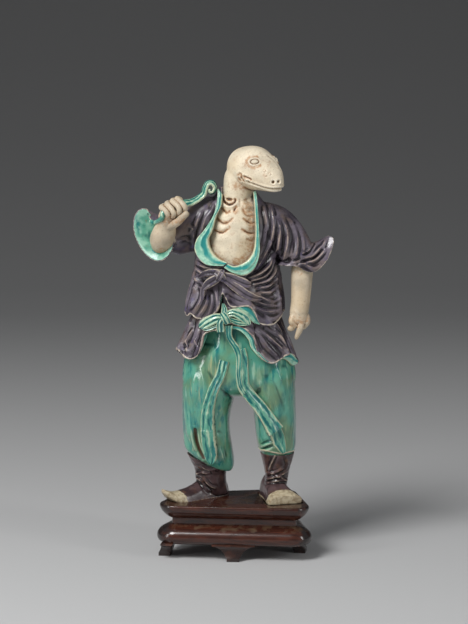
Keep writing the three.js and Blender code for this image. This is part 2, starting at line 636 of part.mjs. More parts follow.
function strapWithCurl() {
  const path = points([
    [-38, -18, 238], [-33, -15, 238], [-28.5, -11, 238.4], [-24.4, -8.6, 240.4], [-21, -7.4, 243.4],
    [-20, -7.4, 247], [-18.2, -6.8, 250.2], [-15.2, -6.6, 250.4], [-13.4, -6.6, 247.6], [-14.6, -6.6, 244.4],
    [-17, -6.6, 244.2], [-17.8, -6.6, 246.6],
  ]);
  const curve = new THREE.CatmullRomCurve3(path).getSpacedPoints(28);
  const section = [[-1, -0.8], [1, -0.8], [1, 0.8], [-1, 0.8]];
  return skin(curve.map((c, i) => {
    const a = curve[Math.max(0, i - 1)];
    const b = curve[Math.min(curve.length - 1, i + 1)];
    const along = b.clone().sub(a).normalize();
    const deep = V(0, 1, 0).addScaledVector(along, -along.y).normalize();
    const thick = along.clone().cross(deep);
    const half = i < 15 ? 3.4 : 3;
    return section.map(([u, h]) => c.clone().addScaledVector(deep, u * half).addScaledVector(thick, h));
  }));
}

// Both collar bands: [inner x, inner z, outer x, outer z, depth at the middle].
const LEFT_COLLAR = [
  [-8.6, 243, -11.6, 247, -9], [-9.4, 236, -12.4, 236.6, -13.5], [-12.4, 230.1, -15, 229, -15.8],
  [-15.2, 220.4, -20.7, 220.4, -18.3], [-17.9, 214.2, -25.5, 214.4, -19.2],
  [-16.1, 207.4, -26.3, 206.4, -20], [-11.4, 202.3, -19.6, 198.4, -21.8], [-5.4, 199.6, -8, 197.4, -22.6],
];
const RIGHT_COLLAR = [
  [-5, 198.8, -7.6, 196.4, -23.4], [-0.5, 197.4, -2, 193, -23.8], [5.9, 199.7, 6, 191.3, -23.6],
  [10, 203.5, 12.5, 196, -22.6], [12.3, 208.4, 15.6, 205.5, -21.4], [13.2, 218.2, 15.4, 216.5, -19.8],
  [12.9, 230, 14.8, 229, -17.4], [12.2, 240, 14, 240, -13.4], [11.6, 245, 13.4, 245.5, -9.5],
];

function collar(rows) {
  const at = smooth(rows, 3);
  const centres = at.map(([xi, zi, xo, zo, y]) => V((xi + xo) / 2, y, (zi + zo) / 2));
  return skin(at.map(([xi, zi, xo, zo, y], i) => {
    const reach = V(xo - xi, 0, zo - zi).multiplyScalar(0.5);
    const out = V(0.35 * centres[i].x / 20, -1, 0).normalize();
    return [[-1, 2.4], [1, 2.4], [1, 0], [0.55, -0.9], [0.1, -0.3], [-0.35, -0.8], [-1, 0.2]].map(
      ([u, h]) => centres[i].clone().addScaledVector(reach, u).addScaledVector(out, -h));
  }));
}

// Ribbons and bands that stand off the cloth, as rows of [x, y, z, half width].
const TROUSER_RIBBON = [
  [-7.4, -21.5, 134.5, 3.2], [-9.6, -21.5, 126, 3.3], [-14, -20.5, 115, 3.6], [-17.2, -18.9, 105, 3.9],
  [-18.6, -17.5, 96, 4.4], [-18.6, -16.3, 88, 4.8], [-17.6, -14.9, 78, 4.9], [-16.6, -13.5, 69, 4.4],
  [-16.2, -12.7, 63.6, 2.6],
];
const SASH_RIBBON = [
  [-4.6, -24.5, 158, 3], [-3.8, -23.7, 150, 3], [-1.4, -23.1, 144, 3.2], [2.2, -22.9, 139, 3.6],
  [4.2, -22.7, 132, 4], [4.4, -22.3, 124, 4.2], [5.2, -21.1, 117, 4.2], [9.6, -19.5, 110.6, 4.2],
  [15.4, -18.5, 103.6, 4.4], [20.6, -17.7, 96.6, 4.8], [24.8, -16.1, 89.6, 5.4], [27.4, -13.9, 83, 5.6],
  [28.6, -12.5, 76.5, 3.8], [28.8, -11.3, 71, 2],
];
const SASH_LEFT_LOOP = [
  [-5.6, -25.1, 164.5, 1.6], [-10.5, -25.5, 163.4, 3.6], [-15.5, -25.1, 160.4, 4.8],
  [-20, -23.7, 157.4, 4.2], [-22.8, -22.3, 155.8, 1.8],
];
const SASH_RIGHT_LOOP = [
  [-7, -25.1, 165.6, 1.6], [-1, -25.7, 166.8, 3.4], [3.4, -25.5, 164.6, 4.2], [7, -24.7, 161.2, 3.6],
  [9.2, -24.1, 158.8, 1.6],
];
const SASH_SHORT_TAIL = [[-7.4, -25.5, 164, 2.2], [-8.8, -25.5, 159.6, 2.8], [-9.6, -24.7, 154, 2.6]];
const SASH_KNOT = [
  [-6.8, -23.7, 172.4, 1], [-6.4, -25.5, 168, 2.6], [-5.8, -26.3, 163.6, 2.8], [-5.2, -25.5, 159.6, 2.6],
];
const TIE_LOOP = [
  [-8.6, -22.5, 191.4, 2], [-13, -23.1, 188.4, 3.2], [-17, -22.3, 185.4, 3.2], [-20.6, -20.5, 182, 1.4],
];
const TIE_LEFT_TAIL = [[-9, -21.7, 192.2, 2.2], [-16, -20.7, 192.8, 2.4], [-23, -17.1, 191.8, 1.2]];
const TIE_LOOP_TAIL = [[-18.6, -21.1, 184, 1], [-20, -20.5, 179, 1.6], [-21.2, -20.1, 175, 0.8]];
const TIE_UPPER_TAIL = [
  [-8.6, -22.5, 191.8, 1.8], [-2, -23.1, 189.6, 2.8], [3.6, -22.9, 186.4, 3], [8.6, -22.1, 184.2, 1.2],
];
const TIE_LOWER_TAIL = [
  [-8.6, -22.3, 189.8, 1.8], [-2, -23.1, 184.8, 2.8], [5, -23.5, 181, 3.2], [12, -23.1, 178, 3],
  [18.4, -21.3, 175.4, 1],
];
const TIE_KNOT = [[-10.6, -23.1, 194.4, 1.6], [-9.8, -24.7, 190.8, 3.2], [-8.8, -23.5, 187, 2]];

function ribbons() {
  return [
    hungStrip(TROUSER_RIBBON, 2), hungStrip(SASH_RIBBON, 2),
    hungStrip(SASH_LEFT_LOOP, 2.4), hungStrip(SASH_RIGHT_LOOP, 2.4),
    hungStrip(SASH_SHORT_TAIL, 2), hungStrip(SASH_KNOT, 2.2),
    hungStrip(TIE_LOOP, 2, FLAT_BAND), hungStrip(TIE_LEFT_TAIL, 1.6, FLAT_BAND),
    hungStrip(TIE_LOOP_TAIL, 1.6, FLAT_BAND), hungStrip(TIE_UPPER_TAIL, 1.8, FLAT_BAND),
    hungStrip(TIE_LOWER_TAIL, 1.8, FLAT_BAND), hungStrip(TIE_KNOT, 2.4, FLAT_BAND),
  ];
}

// Families of folds, each spread from a first line to a last one, as seen from one side:
// [first line, last line, how many, width, height]; a line is [across, up] points.
const FRONT_FOLDS = [
  // Down the viewer's right lapel and over that shoulder.
  [[[16, 242], [17, 228], [18, 214], [17, 202]], [[26, 234], [28, 222], [28, 210], [25.5, 200]], 4, 2.6, 1.1],
  [[[32, 229], [37, 219], [39.5, 208], [39.6, 201]], [[38, 224.5], [44, 216], [47.4, 207], [48, 200]],
    3, 2.4, 1],
  // On the flaring cuff.
  [[[52, 208], [54.4, 203], [54, 197]], [[58, 211], [60, 205], [57.6, 199]], 2, 2.2, 0.9],
  [[[38, 199], [45, 197.4], [51, 196]], [[40, 202.5], [47, 201], [53, 201]], 2, 2, 0.9],
  // From the tie up to the armpit.
  [[[8, 186], [16, 188], [22.5, 193], [26, 199]], [[14, 176], [20, 176.6], [25, 179], [28, 184]], 5, 2.6, 1.1],
  // Left of the tie.
  [[[-14, 195.5], [-20, 197], [-26, 203]], [[-22, 188], [-25, 188.5], [-28, 191]], 3, 2.2, 0.9],
  // On the upper skirt tier.
  [[[-12, 181], [-14, 174], [-16, 168]], [[-25, 183], [-28, 175], [-29.6, 168]], 4, 2.4, 1],
  [[[-2, 181], [8, 178.6], [18, 172], [22, 163]], [[10, 181], [19, 177], [25, 171], [28, 165]], 4, 2.6, 1.1],
  // On the lower skirt tier.
  [[[-14, 160], [-22, 154], [-26, 145], [-28.4, 138]], [[-26, 160], [-30, 153], [-33, 146], [-34.6, 141]],
    3, 2.6, 1.1],
  [[[8, 160], [15, 154], [19, 146], [22, 137]], [[24, 158.6], [29, 153], [34, 146], [38.6, 137]], 5, 2.6, 1.1],
  // On the raised sleeve.
  [[[-22, 236], [-21.6, 226], [-24, 216]], [[-31, 233], [-32, 224], [-34, 214]], 3, 2.4, 0.9],
  // Down the trouser legs.
  [[[-30, 118], [-31.6, 104], [-31, 88], [-29, 74]], [[-22, 122], [-25, 106], [-26, 90], [-24.4, 74]],
    2, 3, 0.8],
  [[[33, 112], [35, 98], [34, 84], [33, 76]], [[22, 118], [29, 104], [31, 92], [31.6, 84]], 2, 3, 0.8],
  // Ribs, and the edge of the throat's hollow.
  [[[-12, 228.6], [-10, 227], [-7, 226.6], [-3.6, 228.4]], [[-15, 211], [-12.6, 209.4], [-9, 209], [-5.4, 211]],
    4, 2, 0.7],
  [[[10.4, 225.4], [8.4, 225.2], [6, 226], [3.6, 228]], [[10.8, 208], [8.6, 208], [6, 209], [3.4, 211]],
    4, 2, 0.7],
  [[[-7, 234.5], [-3.6, 233], [0.6, 234.5]], [[-8.4, 236], [-5, 234.6], [0, 236]], 1, 2.4, 1],
  // Crumples at the ankles.
  [[[-26.5, 52], [-20, 48], [-13, 43]], [[-27.6, 48.4], [-23, 45], [-16, 40]], 2, 2, 0.8],
  [[[21, 51], [28, 53.6], [35, 52]], [[21, 48.4], [28, 50], [35.6, 48]], 2, 2, 0.8],
];
const BACK_FOLDS = [
  [[[-24, 228], [-16, 215], [-14, 200], [-13, 188]], [[24, 228], [16, 215], [14, 200], [13, 188]], 6, 2.8, 1],
  [[[-18, 184], [-19.6, 175], [-22, 166]], [[18, 184], [19.6, 175], [22, 166]], 6, 2.6, 1],
  [[[-22, 160], [-26, 148], [-29, 136]], [[22, 160], [26, 148], [29, 136]], 7, 2.8, 1.1],
];
const RIGHT_SIDE_FOLDS = [[[[-8, 158], [-8, 148], [-8, 138]], [[10, 158], [11, 148], [12, 138]], 3, 2.6, 1]];
const LEFT_SIDE_FOLDS = [[[[-9, 160], [-10, 150], [-11, 140]], [[10, 160], [11, 150], [12, 142]], 3, 2.6, 1]];

const foldsOn = (see, families) => families.flatMap((family) => fan(see, ...family));

// The face: [distance, side, height] points on the head, with half widths across and up.
const EYE = { at: [15.6, 10.9, 266.2], out: [0.24, 0.86, 0.45], half: [3.1, 1.9, 1.5], sunk: 0.9 };
const MOUTH = [
  [11.4, -11.9, 252.3], [16.8, -9.9, 250.7], [21.6, -8.2, 249.4], [25.2, -6.4, 248.6], [28.4, -3.6, 248.3],
  [29.4, 0, 248.4], [28.4, 3.6, 248.3], [25.2, 6.4, 248.6], [21.6, 8.2, 249.4], [16.8, 9.9, 250.7],
  [11.4, 11.9, 252.3],
];
const MOUTH_CUT = [1.3, 0.5];
const NOSTRIL = { outer: [31.4, 2.6, 253.6], inner: [27, 2, 253.2], radius: 0.8 };
const THROAT_HOLLOW = [[-4.3, -20, 238.8, 3.2, 1.9], [-3.6, -9.5, 238.2, 2.6, 1.6]];

function eyes() {
  return [-1, 1].map((side) => {
    const [d, s, z] = EYE.at;
    const centre = headPoint(d, side * s, z);
    const out = headPoint(EYE.out[0], side * EYE.out[1], EYE.out[2]).sub(headPoint(0, 0, 0)).normalize();
    const along = headPoint(1, 0, 0).sub(headPoint(0, 0, 0));
    along.addScaledVector(out, -along.dot(out)).normalize();
    const up = out.clone().cross(along);
    const ball = new THREE.SphereGeometry(1, 12, 8).scale(...EYE.half);
    ball.applyMatrix4(new THREE.Matrix4().makeBasis(along, up, out));
    ball.translate(...centre.addScaledVector(out, -EYE.sunk));
    return ball;
  });
}

function faceCuts() {
  const slit = limb(MOUTH.map((row) => {
    const p = headPoint(...row);
    return [p.x, p.y, p.z, ...MOUTH_CUT];
  }), 6, 2, false);
  const nostrils = [-1, 1].map((side) => {
    const [a, b] = [NOSTRIL.outer, NOSTRIL.inner].map(([d, s, z]) => headPoint(d, side * s, z));
    return limb([[a.x, a.y, a.z, NOSTRIL.radius], [b.x, b.y, b.z, 0.8 * NOSTRIL.radius]], 6);
  });
  return [slit, ...nostrils, limb(THROAT_HOLLOW, 8)];
}

function makeFigure() {
  const robe = joined([stack(TORSO, 32, 2), sleeve(RAISED_SLEEVE, RAISED_CUFF, RAISED_HOLLOW, 26)]);
  const lowered = solid(sleeve(LOWERED_SLEEVE, LOWERED_CUFF, LOWERED_HOLLOW, 26));
  const open = robe.add(lowered).subtract(solid(openingCut()));
  const dressed = open.add(joined([stack(CHEST, 24, 2), limb(NECK, 20)]));
  const lower = joined([...boots(), ...trousers()]);
  const skirts = joined([
    skirt(LOWER_HEM, LOWER_WAIST, 84, 1.3, 15, 1.3),
    skirt(UPPER_HEM, UPPER_WAIST, 72, 0.9, 13, 1.1),
  ]);
  const bare = Manifold.union([dressed, lower, skirts, joined([
    collar(LEFT_COLLAR), collar(RIGHT_COLLAR), head(),
    limb(RAISED_ARM, 16), limb(LOWERED_ARM, 16), ...hands(), strapWithCurl(),
  ])]);
  const raised = [
    ...ribbons(), ...eyes(),
    ...foldsOn(viewer(bare, 0), FRONT_FOLDS), ...foldsOn(viewer(bare, 180), BACK_FOLDS),
    ...foldsOn(viewer(skirts, 90), RIGHT_SIDE_FOLDS), ...foldsOn(viewer(skirts, 270), LEFT_SIDE_FOLDS),
  ];
  return bare.add(joined(raised)).subtract(joined(faceCuts()));
}

function makeStand() {
  const slab = solid(skin(STAND_PROFILE.map(([z, inset]) => planRing(inset, z))));
  const feet = FEET.map(([x, y, turn]) => {
    const { wide, deep } = bracketFoot();
    return solid(wide).intersect(solid(deep)).rotate([0, 0, turn]).translate([x, y, 0]);
  });
  const whole = Manifold.union([slab, ...feet]);
  return whole.subtract(solid(footPocket(LEFT_FOOT))).subtract(solid(footPocket(RIGHT_FOOT)));
}

// Keeps the outside skin only: closed hollows left between joined forms are filled.
function outside(body) {
  const g = geometryOf(body);
  const merged = mergeVertices(g, 1e-4);
  const index = merged.index;
  const parent = Array.from({ length: merged.attributes.position.count }, (_, i) => i);
  const root = (i) => {
    let k = i;
    while (parent[k] !== k) {
      parent[k] = parent[parent[k]];
      k = parent[k];
    }
    return k;
  };
  for (let k = 0; k < index.count; k += 3) {
    parent[root(index.getX(k))] = root(index.getX(k + 1));
    parent[root(index.getX(k))] = root(index.getX(k + 2));
  }
  const groups = new Map();
  for (let k = 0; k < index.count; k += 3) {
    const r = root(index.getX(k));
    if (!groups.has(r)) {
      groups.set(r, []);
    }
    groups.get(r).push(index.getX(k), index.getX(k + 1), index.getX(k + 2));
  }
  let best = null;
  let size = 0;
  for (const list of groups.values()) {
    const part = merged.clone();
    part.setIndex(list);
    const v = volume(part);
    if (v > size) {
      size = v;
      best = part;
    }
  }
  return best;
}

function careAt([x, y, z]) {
  const found = CARE.find(([cx, cy, cz, reach]) => Math.hypot(x - cx, y - cy, z - cz) < reach);
  return found ? found[4] : 1;
}

// Thins a closed skin to a number of faces, by closing up the edges whose loss shows least.
// The measure is each corner's squared distance from the planes that met there, times the care
// that the place is owed.
function thinned(geometry, wanted) {
  const merged = mergeVertices(geometry, 1e-4);
  const place = merged.attributes.position;
  const spot = Array.from({ length: place.count }, (_, i) => [place.getX(i), place.getY(i), place.getZ(i)]);
  const faces = [];
  const around = spot.map(() => new Set());
  const planes = spot.map(() => new Float64Array(10));
  const facing = (p, q, r) => {
    const [ux, uy, uz] = [q[0] - p[0], q[1] - p[1], q[2] - p[2]];
    const [vx, vy, vz] = [r[0] - p[0], r[1] - p[1], r[2] - p[2]];
    return [uy * vz - uz * vy, uz * vx - ux * vz, ux * vy - uy * vx];
  };
  for (let k = 0; k < merged.index.count; k += 3) {
    const face = [merged.index.getX(k), merged.index.getX(k + 1), merged.index.getX(k + 2)];
    const n = facing(...face.map((i) => spot[i]));
    const size = Math.hypot(...n) || 1e-12;
    const [a, b, c] = n.map((v) => v / size);
    const d = -(a * spot[face[0]][0] + b * spot[face[0]][1] + c * spot[face[0]][2]);
    const terms = [a * a, a * b, a * c, a * d, b * b, b * c, b * d, c * c, c * d, d * d];
    const weight = size * careAt(spot[face[0]]);
    for (const i of face) {
      around[i].add(faces.length);
      terms.forEach((t, m) => {
        planes[i][m] += t * weight;
      });
    }
    faces.push(face);
  }
  const off = (q, [x, y, z]) => q[0] * x * x + 2 * q[1] * x * y + 2 * q[2] * x * z + 2 * q[3] * x
    + q[4] * y * y + 2 * q[5] * y * z + 2 * q[6] * y + q[7] * z * z + 2 * q[8] * z + q[9];
  const version = new Int32Array(spot.length);
  const heap = [];
  const push = (item) => {
    let i = heap.push(item) - 1;
    while (i > 0) {
      const up = (i - 1) >> 1;
      if (heap[up].cost <= heap[i].cost) {
        break;
      }
      [heap[up], heap[i]] = [heap[i], heap[up]];
      i = up;
    }
  };
  const pop = () => {
    const first = heap[0];
    const last = heap.pop();
    if (heap.length > 0) {
      heap[0] = last;
      let i = 0;
      for (;;) {
        let low = i;
        for (const j of [2 * i + 1, 2 * i + 2]) {
          if (j < heap.length && heap[j].cost < heap[low].cost) {
            low = j;
          }
        }
        if (low === i) {
          break;
        }
        [heap[low], heap[i]] = [heap[i], heap[low]];
        i = low;
      }
    }
    return first;
  };
  const offer = (a, b) => {
    const q = planes[a].map((v, m) => v + planes[b][m]);
    const choices = [spot[a], spot[b], spot[a].map((v, m) => (v + spot[b][m]) / 2)];
    const det = q[0] * (q[4] * q[7] - q[5] * q[5]) - q[1] * (q[1] * q[7] - q[5] * q[2])
      + q[2] * (q[1] * q[5] - q[4] * q[2]);
    if (Math.abs(det) > 1e-4) {
      const [r, s, t] = [-q[3], -q[6], -q[8]];
      const best = [
        (r * (q[4] * q[7] - q[5] * q[5]) - q[1] * (s * q[7] - q[5] * t) + q[2] * (s * q[5] - q[4] * t)) / det,
        (q[0] * (s * q[7] - t * q[5]) - r * (q[1] * q[7] - q[5] * q[2]) + q[2] * (q[1] * t - s * q[2])) / det,
        (q[0] * (q[4] * t - q[5] * s) - q[1] * (q[1] * t - s * q[2]) + r * (q[1] * q[5] - q[4] * q[2])) / det,
      ];
      const far = Math.hypot(...best.map((v, m) => v - choices[2][m]));
      const long = Math.hypot(...spot[a].map((v, m) => v - spot[b][m]));
      if (far < 1.5 * long) {
        choices.push(best);
      }
    }
    const long2 = spot[a].reduce((sum, v, m) => sum + (v - spot[b][m]) ** 2, 0);
    let to = null;
    let cost = Infinity;
    for (const p of choices) {
      const c = Math.max(0, off(q, p)) + 1e-4 * long2;
      if (c < cost) {
        cost = c;
        to = p;
      }
    }
    push({ a, b, to, cost, va: version[a], vb: version[b] });
  };
  const near = (v) => {
    const out = new Set();
    for (const f of around[v]) {
      faces[f].forEach((i) => out.add(i));
    }
    out.delete(v);
    return out;
  };
  spot.forEach((_, a) => near(a).forEach((b) => {
    if (a < b) {
      offer(a, b);
    }
  }));
  let count = faces.length;
  while (count > wanted && heap.length > 0) {
    const { a, b, to, va, vb } = pop();
    if (version[a] !== va || version[b] !== vb) {
      continue;
    }
    const nearB = near(b);
    const shared = [...near(a)].filter((i) => nearB.has(i));
    if (shared.length !== 2) {
      continue;
    }
    let good = true;
    for (const v of [a, b]) {
      for (const f of around[v]) {
        const face = faces[f];
        if (face.includes(a) && face.includes(b)) {
          continue;
        }
        const was = facing(...face.map((i) => spot[i]));
        const is = facing(...face.map((i) => (i === v ? to : spot[i])));
        const dot = was[0] * is[0] + was[1] * is[1] + was[2] * is[2];
        const size = Math.hypot(...is);
        if (dot < 0.25 * Math.hypot(...was) * size || size < 1e-3) {
          good = false;
        }
      }
    }
    if (!good) {
      continue;
    }
    spot[a] = to;
    planes[a] = planes[a].map((v, m) => v + planes[b][m]);
    for (const f of [...around[b]]) {
      const face = faces[f];
      if (face.includes(a)) {
        face.forEach((i) => around[i].delete(f));
        faces[f] = null;
        count -= 1;
      } else {
        face[face.indexOf(b)] = a;
        around[a].add(f);
      }
    }
    around[b].clear();
    version[b] += 1;
    version[a] += 1;
    near(a).forEach((i) => offer(a, i));
  }
  const out = new THREE.BufferGeometry();
  out.setAttribute("position", new THREE.Float32BufferAttribute(spot.flat(), 3));
  out.setIndex(faces.filter((f) => f).flat());
  return out;
}

// Sets corners that lie on a flat level exactly on it.
function levelled(geometry) {
  const p = geometry.attributes.position;
  for (let i = 0; i < p.count; i += 1) {
    const level = LEVELS.find((z) => Math.abs(p.getZ(i) - z) < 0.03);
    if (level !== undefined) {
      p.setZ(i, level);
    }
  }
}

function finished(body, name, colour, roughness, faces) {
  const g = thinned(outside(body), faces);
  levelled(g);
  g.translate(...CENTRE);
  const flat = g.toNonIndexed();
  flat.computeVertexNormals();
  const material = new THREE.MeshStandardMaterial({ color: colour, roughness });
  material.name = name === "wooden_stand" ? "carved_wood" : "glazed_porcelain";
  const mesh = new THREE.Mesh(flat, material);
  mesh.name = name;
  return mesh;
}

const group = new THREE.Group();
group.name = "snake_figurine";
group.add(finished(makeFigure(), "snake_figure", 0x5aa693, 0.3, FIGURE_FACES));
group.add(finished(makeStand(), "wooden_stand", 0x4a221a, 0.4, STAND_FACES));

export default group;
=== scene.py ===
# %% [markdown]
# # A porcelain figure with a snake's head, on a carved wooden stand
# The real figure was pressed in clay, its cloth edges, ribbons, hands and face worked by hand, and
# fired. The robe, the trousers, the ribbons and the boots were then painted with coloured glazes and
# fired again, while the head, the chest and the hands were left as bare biscuit. This lesson builds it
# in Blender inside the box of the measured solids. All sizes are in millimetres until the last step
# of each piece, which moves it into the shared frame in metres.

import math

import bmesh
import bpy
import numpy as np
from mathutils import Matrix, Vector
from mathutils.bvhtree import BVHTree


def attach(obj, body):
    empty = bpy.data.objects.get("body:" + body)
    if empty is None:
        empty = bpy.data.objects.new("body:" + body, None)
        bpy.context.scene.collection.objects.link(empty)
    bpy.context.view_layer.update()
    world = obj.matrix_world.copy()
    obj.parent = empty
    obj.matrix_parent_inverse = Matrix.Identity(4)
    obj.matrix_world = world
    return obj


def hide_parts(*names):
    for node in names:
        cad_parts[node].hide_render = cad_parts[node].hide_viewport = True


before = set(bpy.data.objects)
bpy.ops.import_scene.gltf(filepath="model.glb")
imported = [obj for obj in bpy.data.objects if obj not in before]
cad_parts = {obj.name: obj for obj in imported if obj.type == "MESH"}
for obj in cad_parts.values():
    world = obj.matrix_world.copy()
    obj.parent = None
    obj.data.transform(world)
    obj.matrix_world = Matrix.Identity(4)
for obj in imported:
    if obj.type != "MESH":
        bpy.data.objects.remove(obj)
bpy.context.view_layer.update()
MM = 0.001
CENTRE = (1.3, 1.2, 0.0)
SOLE_LEVEL = 35.0
STAND_HEIGHT = 36.5
CLOTH = 1.8

# %% [markdown]
# ## Skins drawn ring by ring
# Limbs, cloth and ribbons are all skins over rings. As a potter adds one coil after another, each
# skin starts as a filled circle whose face is extruded again and again, and each new ring is put in
# its place. The two end faces stay, so every skin is closed.

# %% Rings into skins


def alone():
    bpy.ops.object.select_all(action="DESELECT")


def through(rows, steps):
    """Rows of numbers run through smoothly, with `steps` rows for every given one."""
    rows = np.asarray(rows, float)
    last = len(rows) - 1
    out = []
    for i in range(last):
        a, b, c, d = (rows[max(0, min(last, i + k))] for k in (-1, 0, 1, 2))
        for t in np.arange(steps) / steps:
            out.append(0.5 * (2 * b + (c - a) * t + (2 * a - 5 * b + 4 * c - d) * t**2
                              + (3 * b - a - 3 * c + d) * t**3))
    out.append(rows[last])
    return np.array(out)


def closed_line(points, count):
    """Evenly spaced points on a smooth closed line."""
    p = np.asarray(points, float)
    fine = through(np.vstack([p[-1:], p, p[:2]]), 24)[24:24 * (len(p) + 1) + 1]
    walk = np.r_[0, np.cumsum(np.linalg.norm(np.diff(fine, axis=0), axis=1))]
    at = np.linspace(0, walk[-1], count, endpoint=False)
    return np.stack([np.interp(at, walk, fine[:, k]) for k in range(3)], 1)


def skin(name, rings):
    """A closed skin: a filled circle, extruded on to each following ring."""
    alone()
    count = len(rings[0])
    bpy.ops.mesh.primitive_circle_add(vertices=count, fill_type="NGON")
    obj = bpy.context.object
    obj.name = obj.data.name = name
    bpy.ops.object.mode_set(mode="EDIT")
    mesh = bmesh.from_edit_mesh(obj.data)
    for step, ring in enumerate(rings):
        if step:
            bpy.ops.mesh.extrude_region_move()
        mesh.verts.ensure_lookup_table()
        for k in range(count):
            mesh.verts[step * count + k].co = ring[k]
    bpy.ops.mesh.select_all(action="SELECT")
    bpy.ops.mesh.normals_make_consistent(inside=False)
    bpy.ops.object.mode_set(mode="OBJECT")
    return obj


def oval(angles, a, b, power):
    c, s = np.cos(angles), np.sin(angles)
    r = (np.abs(c) ** power + np.abs(s) ** power) ** (-1 / power)
    return a * r * c, b * r * s


def stacked(name, stations, sides=96, steps=8, power=2.2):
    """Level ovals one above the other: [z, x, y, half width, half depth, lean across, lean back]."""
    angles = np.linspace(0, 2 * math.pi, sides, endpoint=False)
    rings = []
    for z, x, y, a, b, lean_x, lean_y in through([(list(s) + [0, 0])[:7] for s in stations], steps):
        u, v = oval(angles, a, b, power)
        rings.append(np.stack([x + u, y + v, z + lean_x * u + lean_y * v], 1))
    return skin(name, rings)


def unit(v):
    return v / np.linalg.norm(v)


def limb(name, stations, sides=32, steps=8):
    """A round or oval limb along points, [x, y, z, radius, second radius], with round ends."""
    rows = through([s if len(s) == 5 else [*s, s[3]] for s in stations], steps)
    centres = rows[:, :3]
    along = [unit(centres[min(i + 1, len(rows) - 1)] - centres[max(i - 1, 0)]) for i in range(len(rows))]
    side = np.array([1.0, 0, 0]) if abs(along[0][2]) > 0.8 else np.cross([0, 0, 1], along[0])
    angles = np.linspace(0, 2 * math.pi, sides, endpoint=False)[:, None]
    rings = []
    for i, (row, t) in enumerate(zip(rows, along)):
        side = unit(side - side.dot(t) * t)
        other = np.cross(t, side)
        flat = row[3] * np.cos(angles) * side + row[4] * np.sin(angles) * other
        ring = row[:3] + flat
        end = -1 if i == 0 else 1 if i == len(rows) - 1 else 0
        caps = [row[:3] + flat * math.cos(k) + end * 0.75 * min(row[3:]) * math.sin(k) * t
                for k in (0.45, 0.9, 1.25, 1.45)] if end else []
        rings += caps[::-1] + [ring] if end < 0 else [ring] + caps
    return skin(name, rings)


print("ring tools ready")

# %% [markdown]
# ## Fusing, relief, and marks for glaze, painted highlight and painted shade
# Overlapping skins become one body of clay by a voxel remesh. Carving is then worked into that body:
# every fold or crease is a line, and the surface near it is raised or sunk along its normal. Two
# values are measured afterwards on each piece: where it stands proud and where it lies hollow. The
# glazes use them, because a glaze runs thin and pale on an edge and pools dark in a hollow. The
# finishes also use them to paint highlights on the ridges and shade into the hollows.

# %% Clay tools


def fused(name, parts, grain):
    """Joins overlapping skins into one closed body."""
    alone()
    for part in parts:
        part.select_set(True)
    bpy.context.view_layer.objects.active = parts[0]
    if len(parts) > 1:
        bpy.ops.object.join()
    obj = bpy.context.object
    obj.name = obj.data.name = name
    obj.data.remesh_voxel_size = grain
    obj.data.remesh_voxel_adaptivity = 0
    bpy.ops.object.voxel_remesh()
    return obj


def joined(name, parts):
    alone()
    for part in parts:
        part.select_set(True)
    bpy.context.view_layer.objects.active = parts[0]
    if len(parts) > 1:
        bpy.ops.object.join()
    obj = bpy.context.object
    obj.name = obj.data.name = name
    return obj


def places(obj):
    flat = np.empty(len(obj.data.vertices) * 3)
    obj.data.vertices.foreach_get("co", flat)
    return flat.reshape(-1, 3)


def facing(obj):
    flat = np.empty(len(obj.data.vertices) * 3)
    obj.data.vertices.foreach_get("normal", flat)
    return flat.reshape(-1, 3)


def set_places(obj, points):
    obj.data.vertices.foreach_set("co", np.ascontiguousarray(points).ravel())
    obj.data.update()


def edges_of(obj):
    flat = np.empty(len(obj.data.edges) * 2, np.int32)
    obj.data.edges.foreach_get("vertices", flat)
    return flat.reshape(-1, 2)


def softened(values, edges, rounds):
    """Values at the vertices, evened out with their neighbours."""
    v = values.reshape(len(values), -1).copy()
    a = np.r_[edges[:, 0], edges[:, 1]]
    b = np.r_[edges[:, 1], edges[:, 0]]
    count = np.maximum(np.bincount(a, minlength=len(v)), 1)[:, None]
    for _ in range(rounds):
        mean = np.stack([np.bincount(a, v[b, k], len(v)) for k in range(v.shape[1])], 1) / count
        v = 0.4 * v + 0.6 * mean
    return v.reshape(values.shape)


def calm(obj, rounds):
    set_places(obj, softened(places(obj), edges_of(obj), rounds))


def near(points, line):
    """For each point: its distance from a line of points, and how far along the line that is, 0 to 1."""
    line = np.asarray(line, float)
    lengths = np.linalg.norm(np.diff(line, axis=0), axis=1)
    starts = np.r_[0, np.cumsum(lengths)]
    best = np.full(len(points), 1e9)
    where = np.zeros(len(points))
    for a, b, long, start in zip(line, line[1:], lengths, starts):
        t = np.clip((points - a) @ (b - a) / max(long**2, 1e-9), 0, 1)
        d = np.linalg.norm(points - a - t[:, None] * (b - a), axis=1)
        closer = d < best
        best[closer] = d[closer]
        where[closer] = (start + t[closer] * long) / starts[-1]
    return best, where


def fold(points, line, height, width, reach=3.0):
    """The height of one fold: a crest along the line with a shallow valley beside it."""
    line = through(line, 5)
    low, high = line.min(0) - reach * width, line.max(0) + reach * width
    chosen = np.where(((points > low) & (points < high)).all(1))[0]
    out = np.zeros(len(points))
    if len(chosen):
        d, t = near(points[chosen], line)
        fade = np.sin(math.pi * np.clip(0.06 + 0.88 * t, 0, 1)) ** 0.5
        crest = np.exp(-((d / width) ** 1.5)) - 0.5 * np.exp(-(((d - 1.8 * width) / width) ** 2))
        out[chosen] = height * fade * crest
    return out


def seen_from(obj, side):
    """Points as seen from one side ("front", "back", "left", "right"), and how squarely they face it."""
    p, n = places(obj), facing(obj)
    if side in ("front", "back"):
        return p[:, [0, 2]], np.clip((-n[:, 1] if side == "front" else n[:, 1]) * 1.7, 0, 1)
    return p[:, [1, 2]], np.clip((n[:, 0] if side == "right" else -n[:, 0]) * 1.7, 0, 1)


LINED = "lined"


